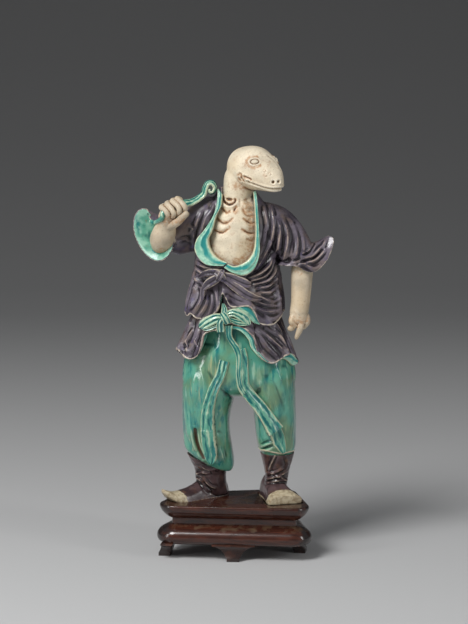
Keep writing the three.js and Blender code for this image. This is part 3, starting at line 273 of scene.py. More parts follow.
def carve(obj, side, folds, only=None, slim=1.0, deepest=9.0):
    """Works a list of folds, (line, height, width), into one side of a piece.

    Valleys that meet add up, so thin cloth is given a depth that they stop at. The lining is left
    alone: it faces the same way as the far wall, and folds in both would meet.
    """
    flat, share = seen_from(obj, side)
    lift = np.zeros(len(flat))
    for line, height, width in folds:
        lift += fold(flat, line, height, width * slim)
    lift = np.maximum(lift, -deepest)
    if LINED in obj.data.attributes:
        share = share * (1 - read_mark(obj, LINED))
    if only is not None:
        share = share * only(places(obj))
    set_places(obj, places(obj) + facing(obj) * (lift * share)[:, None])


def spread(first, last, count, height, width):
    """Folds spread evenly from a first line to a last one."""
    first, last = np.asarray(first, float), np.asarray(last, float)
    return [(first + (last - first) * t, height, width) for t in np.linspace(0, 1, count)]


def mark(obj, name, values):
    """Keeps a value for each vertex under a name that the glaze can read."""
    old = obj.data.attributes.get(name)
    layer = old or obj.data.attributes.new(name, "FLOAT", "POINT")
    layer.data.foreach_set("value", np.ascontiguousarray(values, dtype=np.float32))


def read_mark(obj, name):
    out = np.empty(len(obj.data.vertices), np.float32)
    obj.data.attributes[name].data.foreach_get("value", out)
    return out


def measure_relief(obj, fine=3, broad=26, sharp=1.0):
    """Marks where a piece stands proud (ridge) and where it lies hollow (hollow), for thin and pooled glaze
    and for painted highlight and shade.
    """
    p, n, e = places(obj), facing(obj), edges_of(obj)
    small = softened(p, e, fine)
    wide = softened(small, e, broad)
    close, far = ((p - small) * n).sum(1), ((small - wide) * n).sum(1)
    mark(obj, "ridge", np.clip(softened((close - 0.03) * 12 * sharp + far * 0.25, e, 1), 0, 1))
    mark(obj, "hollow", np.clip(softened(-close * 8 - far * 2.2, e, 1), 0, 1))
    print(f"{obj.name}: relief {np.percentile(close, (2, 50, 90, 98)).round(3)} "
          f"{np.percentile(far, (2, 50, 90, 98)).round(3)}")


def lightened(obj, faces):
    """Thins a piece to a number of triangles, keeping its shape."""
    obj.data.calc_loop_triangles()
    now = len(obj.data.loop_triangles)
    if now > faces:
        alone()
        obj.select_set(True)
        bpy.context.view_layer.objects.active = obj
        thin = obj.modifiers.new("thin", "DECIMATE")
        thin.ratio = faces / now
        bpy.ops.object.modifier_apply(modifier=thin.name)
    return obj


def finished(obj, material, node="snake_figure", faces=190000):
    """Puts a piece in the shared frame, glazes it and lets it stand for its measured solid."""
    lightened(obj, faces)
    obj.data.transform(Matrix.Scale(MM, 4) @ Matrix.Translation(CENTRE))
    obj.data.materials.clear()
    obj.data.materials.append(material)
    alone()
    obj.select_set(True)
    bpy.context.view_layer.objects.active = obj
    bpy.ops.object.shade_smooth()
    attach(obj, "root")
    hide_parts(node)
    obj.data.calc_loop_triangles()
    low, high = places(obj).min(0) / MM, places(obj).max(0) / MM
    print(f"{obj.name}: {len(obj.data.loop_triangles)} triangles, {low.round(1)} to {high.round(1)} mm")
    return obj


print("clay tools ready")

# %% [markdown]
# ## The head, the neck and the bare chest
# These were never glazed. The head is an egg drawn out to a blunt snout, turned 43 degrees to the
# viewer's right. It is drawn as ovals from the back of the skull forward, on a round neck and a barrel
# chest, and all three are fused. The carving then follows the face: almond eyes with a raised lid, the
# long slit of the mouth, two nostrils, a curl at the corner of the jaw, and the ribs.

# %% The head's own directions
HEAD_TURN = math.radians(43)
SKULL = (8.3, -1.4)
HEAD = [
    [-13.9, 259.6, 3.4, 3.6], [-12, 259.8, 7.6, 7.8], [-7, 260.2, 12.2, 12.2], [0, 260.4, 14.1, 14],
    [7.5, 260.2, 13.9, 14.2], [14, 258.8, 12.3, 12.9], [20, 256.3, 10.3, 10.5], [25, 254, 8, 8.3],
    [28.6, 252.7, 5.2, 6.1], [30.6, 252.3, 2.8, 3.4], [31.2, 252.2, 1.2, 1.5],
]


def on_head(ahead, side, height):
    """A point given by its distance forward from the skull's middle, to the side, and up."""
    c, s = math.cos(HEAD_TURN), math.sin(HEAD_TURN)
    return np.array([SKULL[0] + s * ahead + c * side, SKULL[1] - c * ahead + s * side, height])


def head_skin():
    angles = np.linspace(0, 2 * math.pi, 96, endpoint=False)
    rings = []
    for ahead, height, wide, high in through(HEAD, 8):
        u, v = oval(angles, wide, high, 2.15)
        rings.append([on_head(ahead, a, height + b) for a, b in zip(u, v)])
    return skin("head", rings)


CHEST = [
    [186, 0, 0, 19, 15], [190, 0, 0, 20, 17], [198, -0.6, 0, 20.5, 18.4], [208, -1.4, 0, 20.5, 18.8],
    [218, -1, 0, 19.5, 17.6], [228, 0, 0, 17, 15.6], [236, 0.6, 0, 13.4, 12.6], [242, 0.8, 0, 10, 9.6],
]
NECK = [
    [0.4, -0.5, 229, 9, 8.6], [0.8, -2.2, 237, 9.2, 9], [1.6, -2, 245, 9.8, 9.6], [3.4, -1, 252.5, 11, 11],
    [6, -1, 258, 10, 10],
]
flesh = fused("head_and_chest", [head_skin(), limb("neck", NECK, 64), stacked("chest", CHEST)], 0.42)
calm(flesh, 4)
print("head, neck and chest:", len(flesh.data.vertices), "points")

# %% Carve the face
EYE_AT, EYE_OUT = (16.6, 11.1, 266.4), (0.24, 0.86, 0.45)
MOUTH = [
    (11.6, -11.6, 252.2), (16.8, -9.9, 250.5), (21.6, -8.2, 249), (25.2, -6.4, 248.2),
    (28.4, -3.6, 247.9), (29.8, -0.4, 248.3), (28.4, 3.6, 248.6), (25.2, 6.4, 249), (21.6, 8.2, 249.6),
    (16.8, 9.9, 250.7), (11.4, 11.9, 252.3),
]
JAW_CURL = [(5.2, 13.1, 256.2), (6.6, 13.2, 257.6), (8.4, 12.9, 256.6), (7.6, 12.8, 254), (9.6, 12.2, 251.8)]
JAW_DIMPLE = [(5.4, 13, 254.6), (6.4, 12.6, 252.4)]
LIP_FOLD = [(10.2, 12.8, 255.8), (12.4, 12.1, 255), (14.7, 11.3, 254)]
NOSTRILS = [(28.9, -4.9, 252.7), (30.7, -1.7, 253)]
PIMPLES = [(23.4, -7.4, 259.8), (26.6, -5.7, 257.8), (24.6, -7.6, 257)]
SNOUT_CREASE = [(17.8, 1.5, 268.4), (19.6, 3.6, 266.4), (22.6, 4.9, 263), (26.4, 4.2, 259.6)]
JAW_LINE = [(-6, 12.4, 258.6), (-2, 13.2, 255), (2, 12.8, 250.8), (7, 10.4, 247.6), (12, 7.4, 246.4),
            (14, 0, 246), (12, -7.4, 246.4), (7, -10.4, 247.6), (2, -12.8, 250.8), (-2, -13.2, 255),
            (-6, -12.4, 258.6)]


def carve_head(obj):
    # The jaw runs into the neck without a seam, so that stretch is smoothed first.
    p, e = places(obj), edges_of(obj)
    d, _ = near(p, [on_head(*q) for q in JAW_LINE])
    share = np.exp(-((d / 3.2) ** 2))[:, None]
    set_places(obj, p + (softened(p, e, 60) - p) * share)
    p, n = places(obj), facing(obj)
    lift = np.zeros(len(p))
    stain_and_shade = np.zeros(len(p))
    for side in (-1, 1):
        # The eye: a domed ball in a fine groove, with a soft lid round it.
        middle = on_head(EYE_AT[0], side * EYE_AT[1], EYE_AT[2])
        out = unit(on_head(EYE_OUT[0], side * EYE_OUT[1], EYE_OUT[2]) - on_head(0, 0, 0))
        along = on_head(1, 0, 0) - on_head(0, 0, 0)
        along = unit(along - along.dot(out) * out)
        up = np.cross(out, along) * (1 if np.cross(out, along)[2] > 0 else -1)
        r = p - middle
        x, y = r @ along, r @ up
        x, y = x * 0.94 + y * 0.34, y * 0.94 - x * 0.34
        away = np.hypot(x / 2.4, y / 1.65)
        close = np.abs(r @ out) < 3.5
        lid = 0.6 * np.clip(1 - away**2, 0, 1) - 0.8 * np.exp(-((away - 1.08) / 0.22) ** 2)
        swell = 0.9 if side > 0 else 0.3
        lid += 0.4 * np.exp(-((away - 1.55) / 0.28) ** 2) + swell * np.exp(-((away / 1.9) ** 4))
        lift += np.where(close, lid, 0)
        # A brown ring at the foot of the eye's mound: the clay's stain, with painted shade round the eye.
        stain_and_shade = np.maximum(stain_and_shade, np.where(close, 0.75 * np.exp(-((away - 2.3) / 0.8) ** 2), 0))
        # The curl at the corner of the jaw and the fold over the mouth's corner.
        for line in (JAW_CURL, JAW_DIMPLE, LIP_FOLD):
            d, _ = near(p, through([on_head(a, side * s, z) for a, s, z in line], 4))
            lift += 0.4 * np.exp(-(((d - 1.3) / 0.7) ** 2)) - 0.5 * np.exp(-((d / 0.8) ** 2))
            # Brown in these creases: the clay's stain, with painted shade in the crease.
            stain_and_shade = np.maximum(stain_and_shade, 0.8 * np.exp(-((d / 1.3) ** 2)))
    for place in NOSTRILS:
        d = np.linalg.norm(p - on_head(*place), axis=1)
        lift += 0.25 * np.exp(-(((d - 1.7) / 0.5) ** 2)) - 1.8 * np.exp(-((d / 1.05) ** 4))
    for place in PIMPLES:
        d = np.linalg.norm(p - on_head(*place), axis=1)
        lift += 0.35 * np.exp(-((d / 0.55) ** 2)) - 0.2 * np.exp(-(((d - 1.1) / 0.4) ** 2))
        stain_and_shade = np.maximum(stain_and_shade, 0.7 * np.exp(-((d / 1.2) ** 2)))
    d, _ = near(p, through([on_head(*q) for q in SNOUT_CREASE], 4))
    lift += 0.3 * np.exp(-(((d - 2.2) / 1.2) ** 2)) - 0.25 * np.exp(-((d / 1.1) ** 2))
    d, t = near(p, through([on_head(*q) for q in MOUTH], 4))
    ends = np.clip(np.minimum(t, 1 - t) * 14, 0.6, 1)
    lift += ends * (0.5 * np.exp(-(((d - 1.6) / 0.75) ** 2)) - 1.9 * np.exp(-((d / 0.75) ** 3)))
    for side in (-1, 1):
        d = np.linalg.norm(p - on_head(12.6, side * 11.2, 251.8), axis=1)
        lift -= 1.6 * np.exp(-((d / 1.15) ** 3))
    # Under the jaw: the clay's stain, with painted shade where the head overhangs the throat.
    d, _ = near(p, [on_head(2, -12.6, 249), on_head(9, -8, 246), on_head(12, 0, 245.4)])
    throat = np.exp(-((d / 3.4) ** 2))
    mark(obj, "stain_and_shade", np.maximum(stain_and_shade, 0.6 * throat))
    set_places(obj, p + n * lift[:, None])


carve_head(flesh)
print("eyes, nostrils, mouth and jaw carved")

# %% Carve the chest
THROAT = (-4.0, 239.6)
THROAT_LINE = [(-8.1, 240.8), (-7.4, 238.5), (-3.9, 236.8), (-0.5, 238.5), (-0.2, 240)]
RIB_CREASES = [
    [(-8.7, 234), (-7.2, 232.3), (-5.3, 231.7), (-3.8, 232.6)],
    [(-12.4, 227.8), (-8.7, 224.9), (-4.9, 225.6), (-1.9, 227.9)],
    [(-15, 220.8), (-10.2, 218.6), (-6.8, 219.8), (-4, 221.9)],
    [(4.7, 233.6), (6.4, 230.6), (8.6, 229.4), (12.4, 229.4)],
    [(5.4, 227.4), (10.1, 224.5), (12.8, 225)],
    [(4.3, 220.9), (8.6, 218.5), (12.8, 218)],
    [(7.9, 214.3), (11.6, 212.8)],
    [(0.3, 235), (-1.2, 232.5)],
]
BREAST_FORMS = [
    ([(0.4, 233), (0.4, 222), (0, 212), (-0.8, 203)], 0.8, 4),
    ([(-12, 230), (-8, 228.6), (-4.4, 230)], 0.7, 2.4),
    ([(-13, 224), (-9, 221.8), (-5, 223.2)], 0.8, 2.6),
    ([(-13.6, 215.8), (-8.8, 215), (-5, 216.6)], 0.6, 2.6),
    ([(5, 223.8), (8.8, 221.6), (11.6, 221.6)], 0.8, 2.4),
    ([(4.8, 217.6), (8.8, 215.8), (11.6, 215.4)], 0.7, 2.4),
    ([(4.1, 238.2), (7.9, 235.4), (12.4, 235.2)], 0.9, 1.5),
    ([(-9.6, 238), (-7.6, 235.8), (-4, 234.9), (-0.6, 236), (1, 238)], 0.7, 1.2),
]
STAIN_AND_SHADE_STROKES = [
    ([(-12.4, 234), (-14.6, 226), (-16.8, 218), (-17.6, 212), (-14.6, 205), (-9, 200.6)], 2.6),
    ([(8.6, 235), (9.6, 228), (10.4, 221), (11.6, 214), (10.6, 207), (6, 200.6), (0, 198.4)], 4.2),
    ([(-0.6, 235.4), (0.6, 231.6)], 1.8),
]
carve(flesh, "front", [(line, -0.45, 0.9) for line in RIB_CREASES] + BREAST_FORMS)
carve(flesh, "front", [(THROAT_LINE, -1.2, 0.8)], lambda p: np.where(p[:, 1] < 0, 1, 0))
flat, share = seen_from(flesh, "front")
throat = np.hypot((flat[:, 0] - THROAT[0]) / 2.6, (flat[:, 1] - THROAT[1]) / 1.3)
sink = np.where(places(flesh)[:, 1] < 0, -1.4 * np.exp(-(throat**4)) * np.clip(share * 2, 0, 1), 0)
set_places(flesh, places(flesh) + np.array([0, -1.0, 0]) * sink[:, None])
# The throat hollow, the rib creases and strokes down the chest's sides are painted brown: the clay's stains,
# with painted shade in the hollows, beside the collar and under the head.
stain_and_shade = 0.9 * np.exp(-(throat**4))
for line in RIB_CREASES + [THROAT_LINE]:
    stain_and_shade = np.maximum(stain_and_shade, 0.85 * np.exp(-((near(flat, through(line, 4))[0] / 1.3) ** 2)))
for line, width in STAIN_AND_SHADE_STROKES:
    stain_and_shade = np.maximum(stain_and_shade, 0.7 * np.exp(-((near(flat, through(line, 4))[0] / width) ** 2)))
chest_share = np.clip((244 - flat[:, 1]) / 3, 0, 1)
mark(flesh, "stain_and_shade", np.maximum(read_mark(flesh, "stain_and_shade") * (1 - chest_share), stain_and_shade * chest_share))
measure_relief(flesh)
print("ribs and throat carved")

# %% [markdown]
# ## The arms
# The forearms come bare out of the wide sleeves. The hands are small and their fingers simple rolls of
# clay: the raised one is a fist that holds a strap over the shoulder, the other hangs with its first
# finger stretched down. Rolls with round ends are fused to a palm.

# %% Arms and hands
RAISED_ARM = [
    [-49, -5, 208.6, 6.8], [-48.2, -8.5, 213, 8.4], [-46.6, -12.6, 219, 7.6], [-44.6, -16, 225, 6],
    [-42.6, -18.4, 230.5, 6.2],
]
RAISED_PALM = [[-46, -16.5, 228.6, 5], [-42.6, -17, 233.4, 5.6], [-38.6, -17.4, 236.6, 4.6]]
RAISED_THUMB = [
    [-43, -19, 223.4, 3.2], [-38, -24, 226.4, 2.7], [-34.6, -25.8, 229.7, 2.3], [-31.8, -25.4, 232.2, 2],
]
FIST_FINGERS = [
    [[-46.6, -17, 236, 2.2], [-48.2, -20.4, 235.6, 2], [-45.6, -24, 233.7, 1.75], [-43.9, -25, 231, 1.7],
     [-44.1, -23.4, 228.9, 1.5]],
    [[-43, -17, 238, 2.2], [-44.6, -20.8, 237.8, 2.1], [-41.6, -25, 234.9, 1.8], [-40.1, -26, 232, 1.75],
     [-40.9, -24, 230, 1.5]],
    [[-39.4, -17, 239.6, 2.2], [-41, -20.8, 239.6, 2.1], [-37.6, -25, 236.9, 1.8], [-36.5, -26, 233.9, 1.75],
     [-37.6, -24, 231.7, 1.5]],
    [[-36.4, -17, 240, 2.2], [-38, -20.4, 241, 2.1], [-34.6, -24, 238.4, 1.9], [-32.7, -25, 235.6, 1.8],
     [-33.6, -23.4, 233.8, 1.5]],
]
STRAP_END = [
    [-45.6, -20.4, 235.4, 1.2, 1.6], [-47.3, -23.4, 232.2, 1.6, 1.7], [-47.9, -22.4, 229, 1.7, 1.8],
    [-50.3, -18, 226.6, 1.5, 1.8], [-53.6, -12, 225, 1.2, 1.6], [-56, -8, 225.6, 0.8, 1.2],
]
LOWERED_ARM = [
    [44.2, -3.4, 199, 6], [44.2, -5, 193, 7.2], [43.6, -7, 182, 6.8], [43, -8.4, 172, 6.3],
    [42, -10, 164.5, 6.2],
]
LOWERED_PALM = [[42, -10.5, 164, 6.1, 5.4], [41.6, -11.6, 159.6, 6, 4.6]]
POINTING_FINGER = [
    [43.4, -12.6, 161, 2.7], [42.8, -14, 155, 2.2], [41, -13.6, 150, 1.7], [40.2, -13.2, 148, 1.2],
]
CURLED_FINGERS = [
    [[46.6, -10.5, 162.5, 2.6], [47, -11.5, 158.8, 2.5], [44.6, -10.5, 155.4, 2.2]],
    [[38.4, -12.4, 163, 2.4], [37.2, -14, 159.4, 2.2], [39.4, -13.4, 156.4, 2]],
]
LOWERED_THUMB = [[39.6, -10, 158, 2.3], [37.6, -12.4, 155.4, 2.3], [36, -14, 154.4, 1.9]]

fist = [limb(f"finger_{i}", rows, 24, 6) for i, rows in enumerate(FIST_FINGERS)]
raised_arm = fused("raised_arm", [limb("forearm", RAISED_ARM, 64), limb("palm", RAISED_PALM),
                                  limb("thumb", RAISED_THUMB), *fist], 0.3)
calm(raised_arm, 2)
measure_relief(raised_arm)
lowered_arm = fused("lowered_arm", [
    limb("forearm", LOWERED_ARM, 64), limb("palm", LOWERED_PALM), limb("finger", POINTING_FINGER, 24),
    *[limb(f"curled_{i}", f, 24) for i, f in enumerate(CURLED_FINGERS)], limb("thumb", LOWERED_THUMB, 24),
], 0.3)
calm(lowered_arm, 2)
measure_relief(lowered_arm)
for arm, height in ((raised_arm, 204), (lowered_arm, 197)):
    # Brown is painted where the arm goes into the sleeve and between the fingers: painted shade there, in the
    # colour of the clay's stains.
    p = places(arm)
    cuff = 0.8 * np.exp(-(((p[:, 2] - height) / 4) ** 2))
    palm = np.exp(-(((p[:, 2] - (228 if arm is raised_arm else 160)) / 3.5) ** 2)) * 0.5
    mark(arm, "stain_and_shade", np.maximum(cuff, palm))
print("arms:", len(raised_arm.data.vertices), "and", len(lowered_arm.data.vertices), "points")

# %% [markdown]
# ## The robe
# The robe is one thick sheet of clay over the body, open to the belly, with two wide sleeves that end
# in flared cuffs, and a skirt that ends in a deep wavy hem. Here the body, both sleeves and the skirt
# are separate skins, each with a real edge that turns round its lip and runs back up inside, so that
# the lining shows. They are fused, and the folds are then carved where the photographed figure has them.

# %% The robe's skins
TORSO = [
    [156, 0.5, 1, 27, 19.5], [170, 0.5, 0.8, 28.4, 20.8], [183, 0.6, 0.5, 29.6, 21.4],
    [195, 1, 0.5, 28.6, 21], [206, 1, 0.8, 27.6, 20.4], [217, 1.4, 1, 28, 19], [227, 1.4, 1.2, 25, 17],
    [236, 1, 1.4, 18.8, 14.2], [243, 0.8, 1.6, 13.8, 11.6], [247.5, 0.4, 1.8, 11, 10],
]
RAISED_SLEEVE = [
    [-6, 1, 226, 13, 14, 0, 1], [-19, 1, 223.2, 13.5, 17.6, 0, 1], [-29, 0.4, 221, 13, 17.4, 0, 1],
    [-37, -1, 218.4, 12.6, 16.6, 0, 1],
]
RAISED_CUFF = [
    [-40.5, -14, 208.5], [-39.5, -12, 217], [-40, -9, 226], [-43, -9, 232], [-46.5, -10, 231.8],
    [-49.5, -9, 228], [-54, -7, 224.5], [-57.2, -4, 228], [-58.5, -2, 232.8], [-62.3, -2, 233.2],
    [-65.8, -2, 230.5], [-67.8, -2, 224], [-67, -3, 216], [-63.5, -6, 208], [-57.5, -10, 201.5],
    [-50.5, -13, 199], [-44, -15, 202.5],
]
LOWERED_SLEEVE = [
    [10, 1, 226, 13, 13, 0.4, 1], [23, 1, 221.6, 14.6, 15, 0.7, 0.9], [33.5, -0.6, 214, 13.6, 13.2, 0.8, 0.7],
    [40, -2.6, 204.9, 11.6, 11.8, 0.9, 0.5],
]
LOWERED_CUFF = [
    [47.2, -14.5, 192.3], [53.5, -12, 192.5], [59.8, -9, 198.2], [62.8, -8, 203.6], [64.8, -6, 209.5],
    [65.1, -4, 213.3], [61.2, -1, 215], [56, 4, 210], [52, 8, 203], [45, 10, 197.5], [37, 9, 195],
    [26.4, 5, 195.5], [24.8, -2, 196.2], [27, -8.8, 196.4], [33.6, -13, 196.2], [40.8, -15, 195.7],
]
RAISED_HOLLOW = [-44.5, -4, 214.5, 4.6, 7.6, 0, 1]
LOWERED_HOLLOW = [43.4, -2.4, 203.5, 7, 7.6, 0.9, 0.5]


def lined(obj, rings_before, rings_lined, count):
    """Marks a skin's rings that show the lining."""
    values = np.zeros(len(obj.data.vertices))
    values[rings_before * count:(rings_before + rings_lined) * count] = 1
    mark(obj, LINED, values)
    return obj


def sleeve(name, stations, cuff, hollow, sides=168):
    """A sleeve that flares to its cuff line, turns round the lip and runs back inside."""
    angles = np.linspace(0, 2 * math.pi, sides, endpoint=False)[:, None]
    front = np.array([0.0, -1, 0])

    def ring(x, y, z, deep, high, ux, uz):
        up = unit(np.array([ux, 0, uz]))
        return np.array([x, y, z]) + deep * np.cos(angles) * front + high * np.sin(angles) * up

    arm = [ring(*row) for row in through(stations, 7)]
    rim = closed_line(cuff, sides)
    middle = rim.mean(0)
    inward = middle - rim
    inward /= np.linalg.norm(inward, axis=1, keepdims=True)
    before = arm[-1]
    flare = [before + (rim - before) * t + inward * 2.2 * math.sin(math.pi * t) for t in
             (0.12, 0.25, 0.38, 0.5, 0.62, 0.74, 0.86)]
    flow = unit((rim - before).mean(0))
    lip = [rim, rim + flow * 0.45 + inward * 0.45, rim + inward * CLOTH * 0.8 + flow * 0.1,
           rim + inward * CLOTH]
    bottom = ring(*hollow)
    deep = [lip[-1] + (bottom - lip[-1]) * t + inward * 1.6 * math.sin(math.pi * t)
            for t in (0.12, 0.28, 0.45, 0.62, 0.8, 1)]
    obj = skin(name, [*arm, *flare, *lip, *deep])
    return lined(obj, len(arm) + len(flare) + 2, 2 + len(deep), sides)


UPPER_HEM = [
    [-8.5, -24, 180], [-6.5, -24.5, 176.5], [-3, -25, 171.2], [3.6, -25.5, 171.2], [9.5, -25.5, 171.2],
    [12.5, -25.5, 167], [15.8, -25, 160.4], [20.5, -23, 158.5], [25.8, -19, 158.9], [30.7, -12, 163.2],
    [32, -5, 166], [32.5, 2, 164], [30, 10, 162], [24, 17, 164], [13, 21.5, 161], [0, 22.5, 163.5],
    [-13, 21.5, 161.5], [-24, 16.5, 164], [-30.5, 8, 162.5], [-33, 0, 165.5], [-33.5, -7, 164],
    [-32.3, -12, 163], [-29.5, -15, 165], [-26.7, -18.5, 163], [-21.4, -21.5, 162.7],
    [-14.8, -24, 165.7], [-11, -24.5, 170.5], [-10, -24.5, 176],
]
LOWER_HEM = [
    [-4, -25, 160], [3, -25.5, 158], [7, -25.5, 156], [11.5, -25.5, 151.5], [13.5, -25, 147],
    [14, -24.5, 141], [19.2, -23.5, 135], [25.2, -20.5, 132.7], [31, -17.5, 135.7], [35.9, -13, 138],
    [39.5, -8, 135], [42.4, -4, 130.3], [41, 3, 132], [38, 9, 135], [32, 16, 133], [22, 22, 131],
    [10, 25, 133], [-4, 25.5, 130], [-17, 23, 132.5], [-28, 17, 131], [-35.5, 8, 134], [-39, 0, 138],
    [-38.4, -6, 141], [-37, -10, 138.5], [-32.5, -15, 135.3], [-29, -18, 135.3], [-25.4, -21.5, 138],
    [-22.7, -23.5, 145], [-21, -24.5, 152], [-16, -25, 155], [-12, -25.2, 155.6], [-8, -25, 157],
]


def skirt(name, hem, waist, flare, flutes, depth, count=420):
    """A skirt from an oval at the waist down to its hem, round the lip and back up inside."""
    wz, wx, wy, wa, wb = waist
    line = closed_line(hem, count)
    angles = np.arctan2((line[:, 1] - wy) / wb, (line[:, 0] - wx) / wa)
    top = np.stack([wx + wa * np.cos(angles), wy + wb * np.sin(angles), np.full(count, wz)], 1)
    turn = np.arctan2(line[:, 1] - wy, line[:, 0] - wx)
    out = np.stack([np.cos(turn), np.sin(turn), np.zeros(count)], 1)
    # The flutes are left to the carving at the front, where each fold has its own place.
    free = 0.25 + 0.75 * np.clip((line[:, 1:2] + 12) / 14, 0, 1)
    wave = np.cos(flutes * turn + 2 * np.sin(2 * turn))[:, None]

    def level(t):
        ring = top + (line - top) * [[t**flare, t**flare, t]]
        return ring + out * wave * free * depth * math.sin(math.pi * min(t, 0.9)) ** 0.7

    outer = [level(t) for t in np.linspace(0, 1, 24)]
    kick = out * [[1, 1, 0]]
    lip = [line + kick * 0.35 + [0, 0, -0.5], line - kick * 0.5 + [0, 0, -0.75],
           line - kick * 1.3 + [0, 0, -0.35], line - kick * CLOTH + [0, 0, 0.4]]
    inner = [level(t) - kick * (CLOTH + 0.5 + 3 * (1 - t)) for t in (0.93, 0.84, 0.72, 0.58, 0.42, 0.25)]
    hidden = np.stack([wx + (top[:, 0] - wx) * 0.75, wy + (top[:, 1] - wy) * 0.75, np.full(count, wz - 2)], 1)
    obj = skin(name, [*outer, *lip, *inner, hidden])
    return lined(obj, len(outer) + 3, 8, count)


body = stacked("robe_body", TORSO, 144)
mark(body, LINED, np.zeros(len(body.data.vertices)))
robe_parts = [
    body, sleeve("raised_sleeve", RAISED_SLEEVE, RAISED_CUFF, RAISED_HOLLOW),
    sleeve("lowered_sleeve", LOWERED_SLEEVE, LOWERED_CUFF, LOWERED_HOLLOW),
    skirt("upper_skirt", UPPER_HEM, [189, 0.6, 0.5, 28.4, 21], 0.9, 13, 1.1),
]
print("robe skins:", [len(part.data.vertices) for part in robe_parts])

# %% [markdown]
# ## Fusing cloth without losing its lining
# The voxel remesh forgets which points were lining. So the skins' faces are kept in a search tree
# first, and each point of the fused body then asks its nearest old face.

# %% Fuse the robe


def remember(parts, name):
    """The skins' faces in a search tree, with a value for each."""
    corners, faces, values = [], [], []
    for part in parts:
        part.data.calc_loop_triangles()
        start, marks = len(corners), read_mark(part, name)
        corners += [tuple(v.co) for v in part.data.vertices]
        for tri in part.data.loop_triangles:
            faces.append([start + k for k in tri.vertices])
            values.append(sum(marks[k] for k in tri.vertices) / 3)
    return BVHTree.FromPolygons(corners, faces), np.array(values)


def recall(obj, name, memory, rounds=1):
    tree, values = memory
    found = [tree.find_nearest(co)[2] for co in places(obj)]
    mark(obj, name, softened(values[found], edges_of(obj), rounds))


memory = remember(robe_parts, LINED)
robe = fused("robe", robe_parts, 0.44)
recall(robe, LINED, memory)
calm(robe, 3)
print("robe:", len(robe.data.vertices), "points")

# %% Open the front
OPENING = [
    [-9, 250], [-9.2, 240], [-12.4, 230.1], [-15.4, 220.4], [-17.9, 213], [-16.1, 206.6], [-11.2, 201.6],
    [-5.2, 198.6], [0.5, 196.8], [6, 199], [10.4, 203.2], [12.6, 208.4], [13.4, 218.2], [13.2, 230],
    [12.6, 240], [12, 250],
]


def inside(points, outline):
    """How far each point lies inside a closed outline; outside it is negative."""
    ring = np.asarray([*outline, outline[0]], float)
    d, _ = near(points, ring)
    odd = np.zeros(len(points), bool)
    for (ax, az), (bx, bz) in zip(ring, ring[1:]):
        if az != bz:
            crosses = (points[:, 1] > az) != (points[:, 1] > bz)
            odd ^= crosses & (points[:, 0] < ax + (bx - ax) * (points[:, 1] - az) / (bz - az))
    return np.where(odd, d, -d)


flat, share = seen_from(robe, "front")
deep = np.clip(inside(flat, through(OPENING, 4)) / 2.2, 0, 1) * (places(robe)[:, 1] < 2) * 9
set_places(robe, places(robe) + np.array([0, 1.0, 0]) * deep[:, None])
print("front opened")

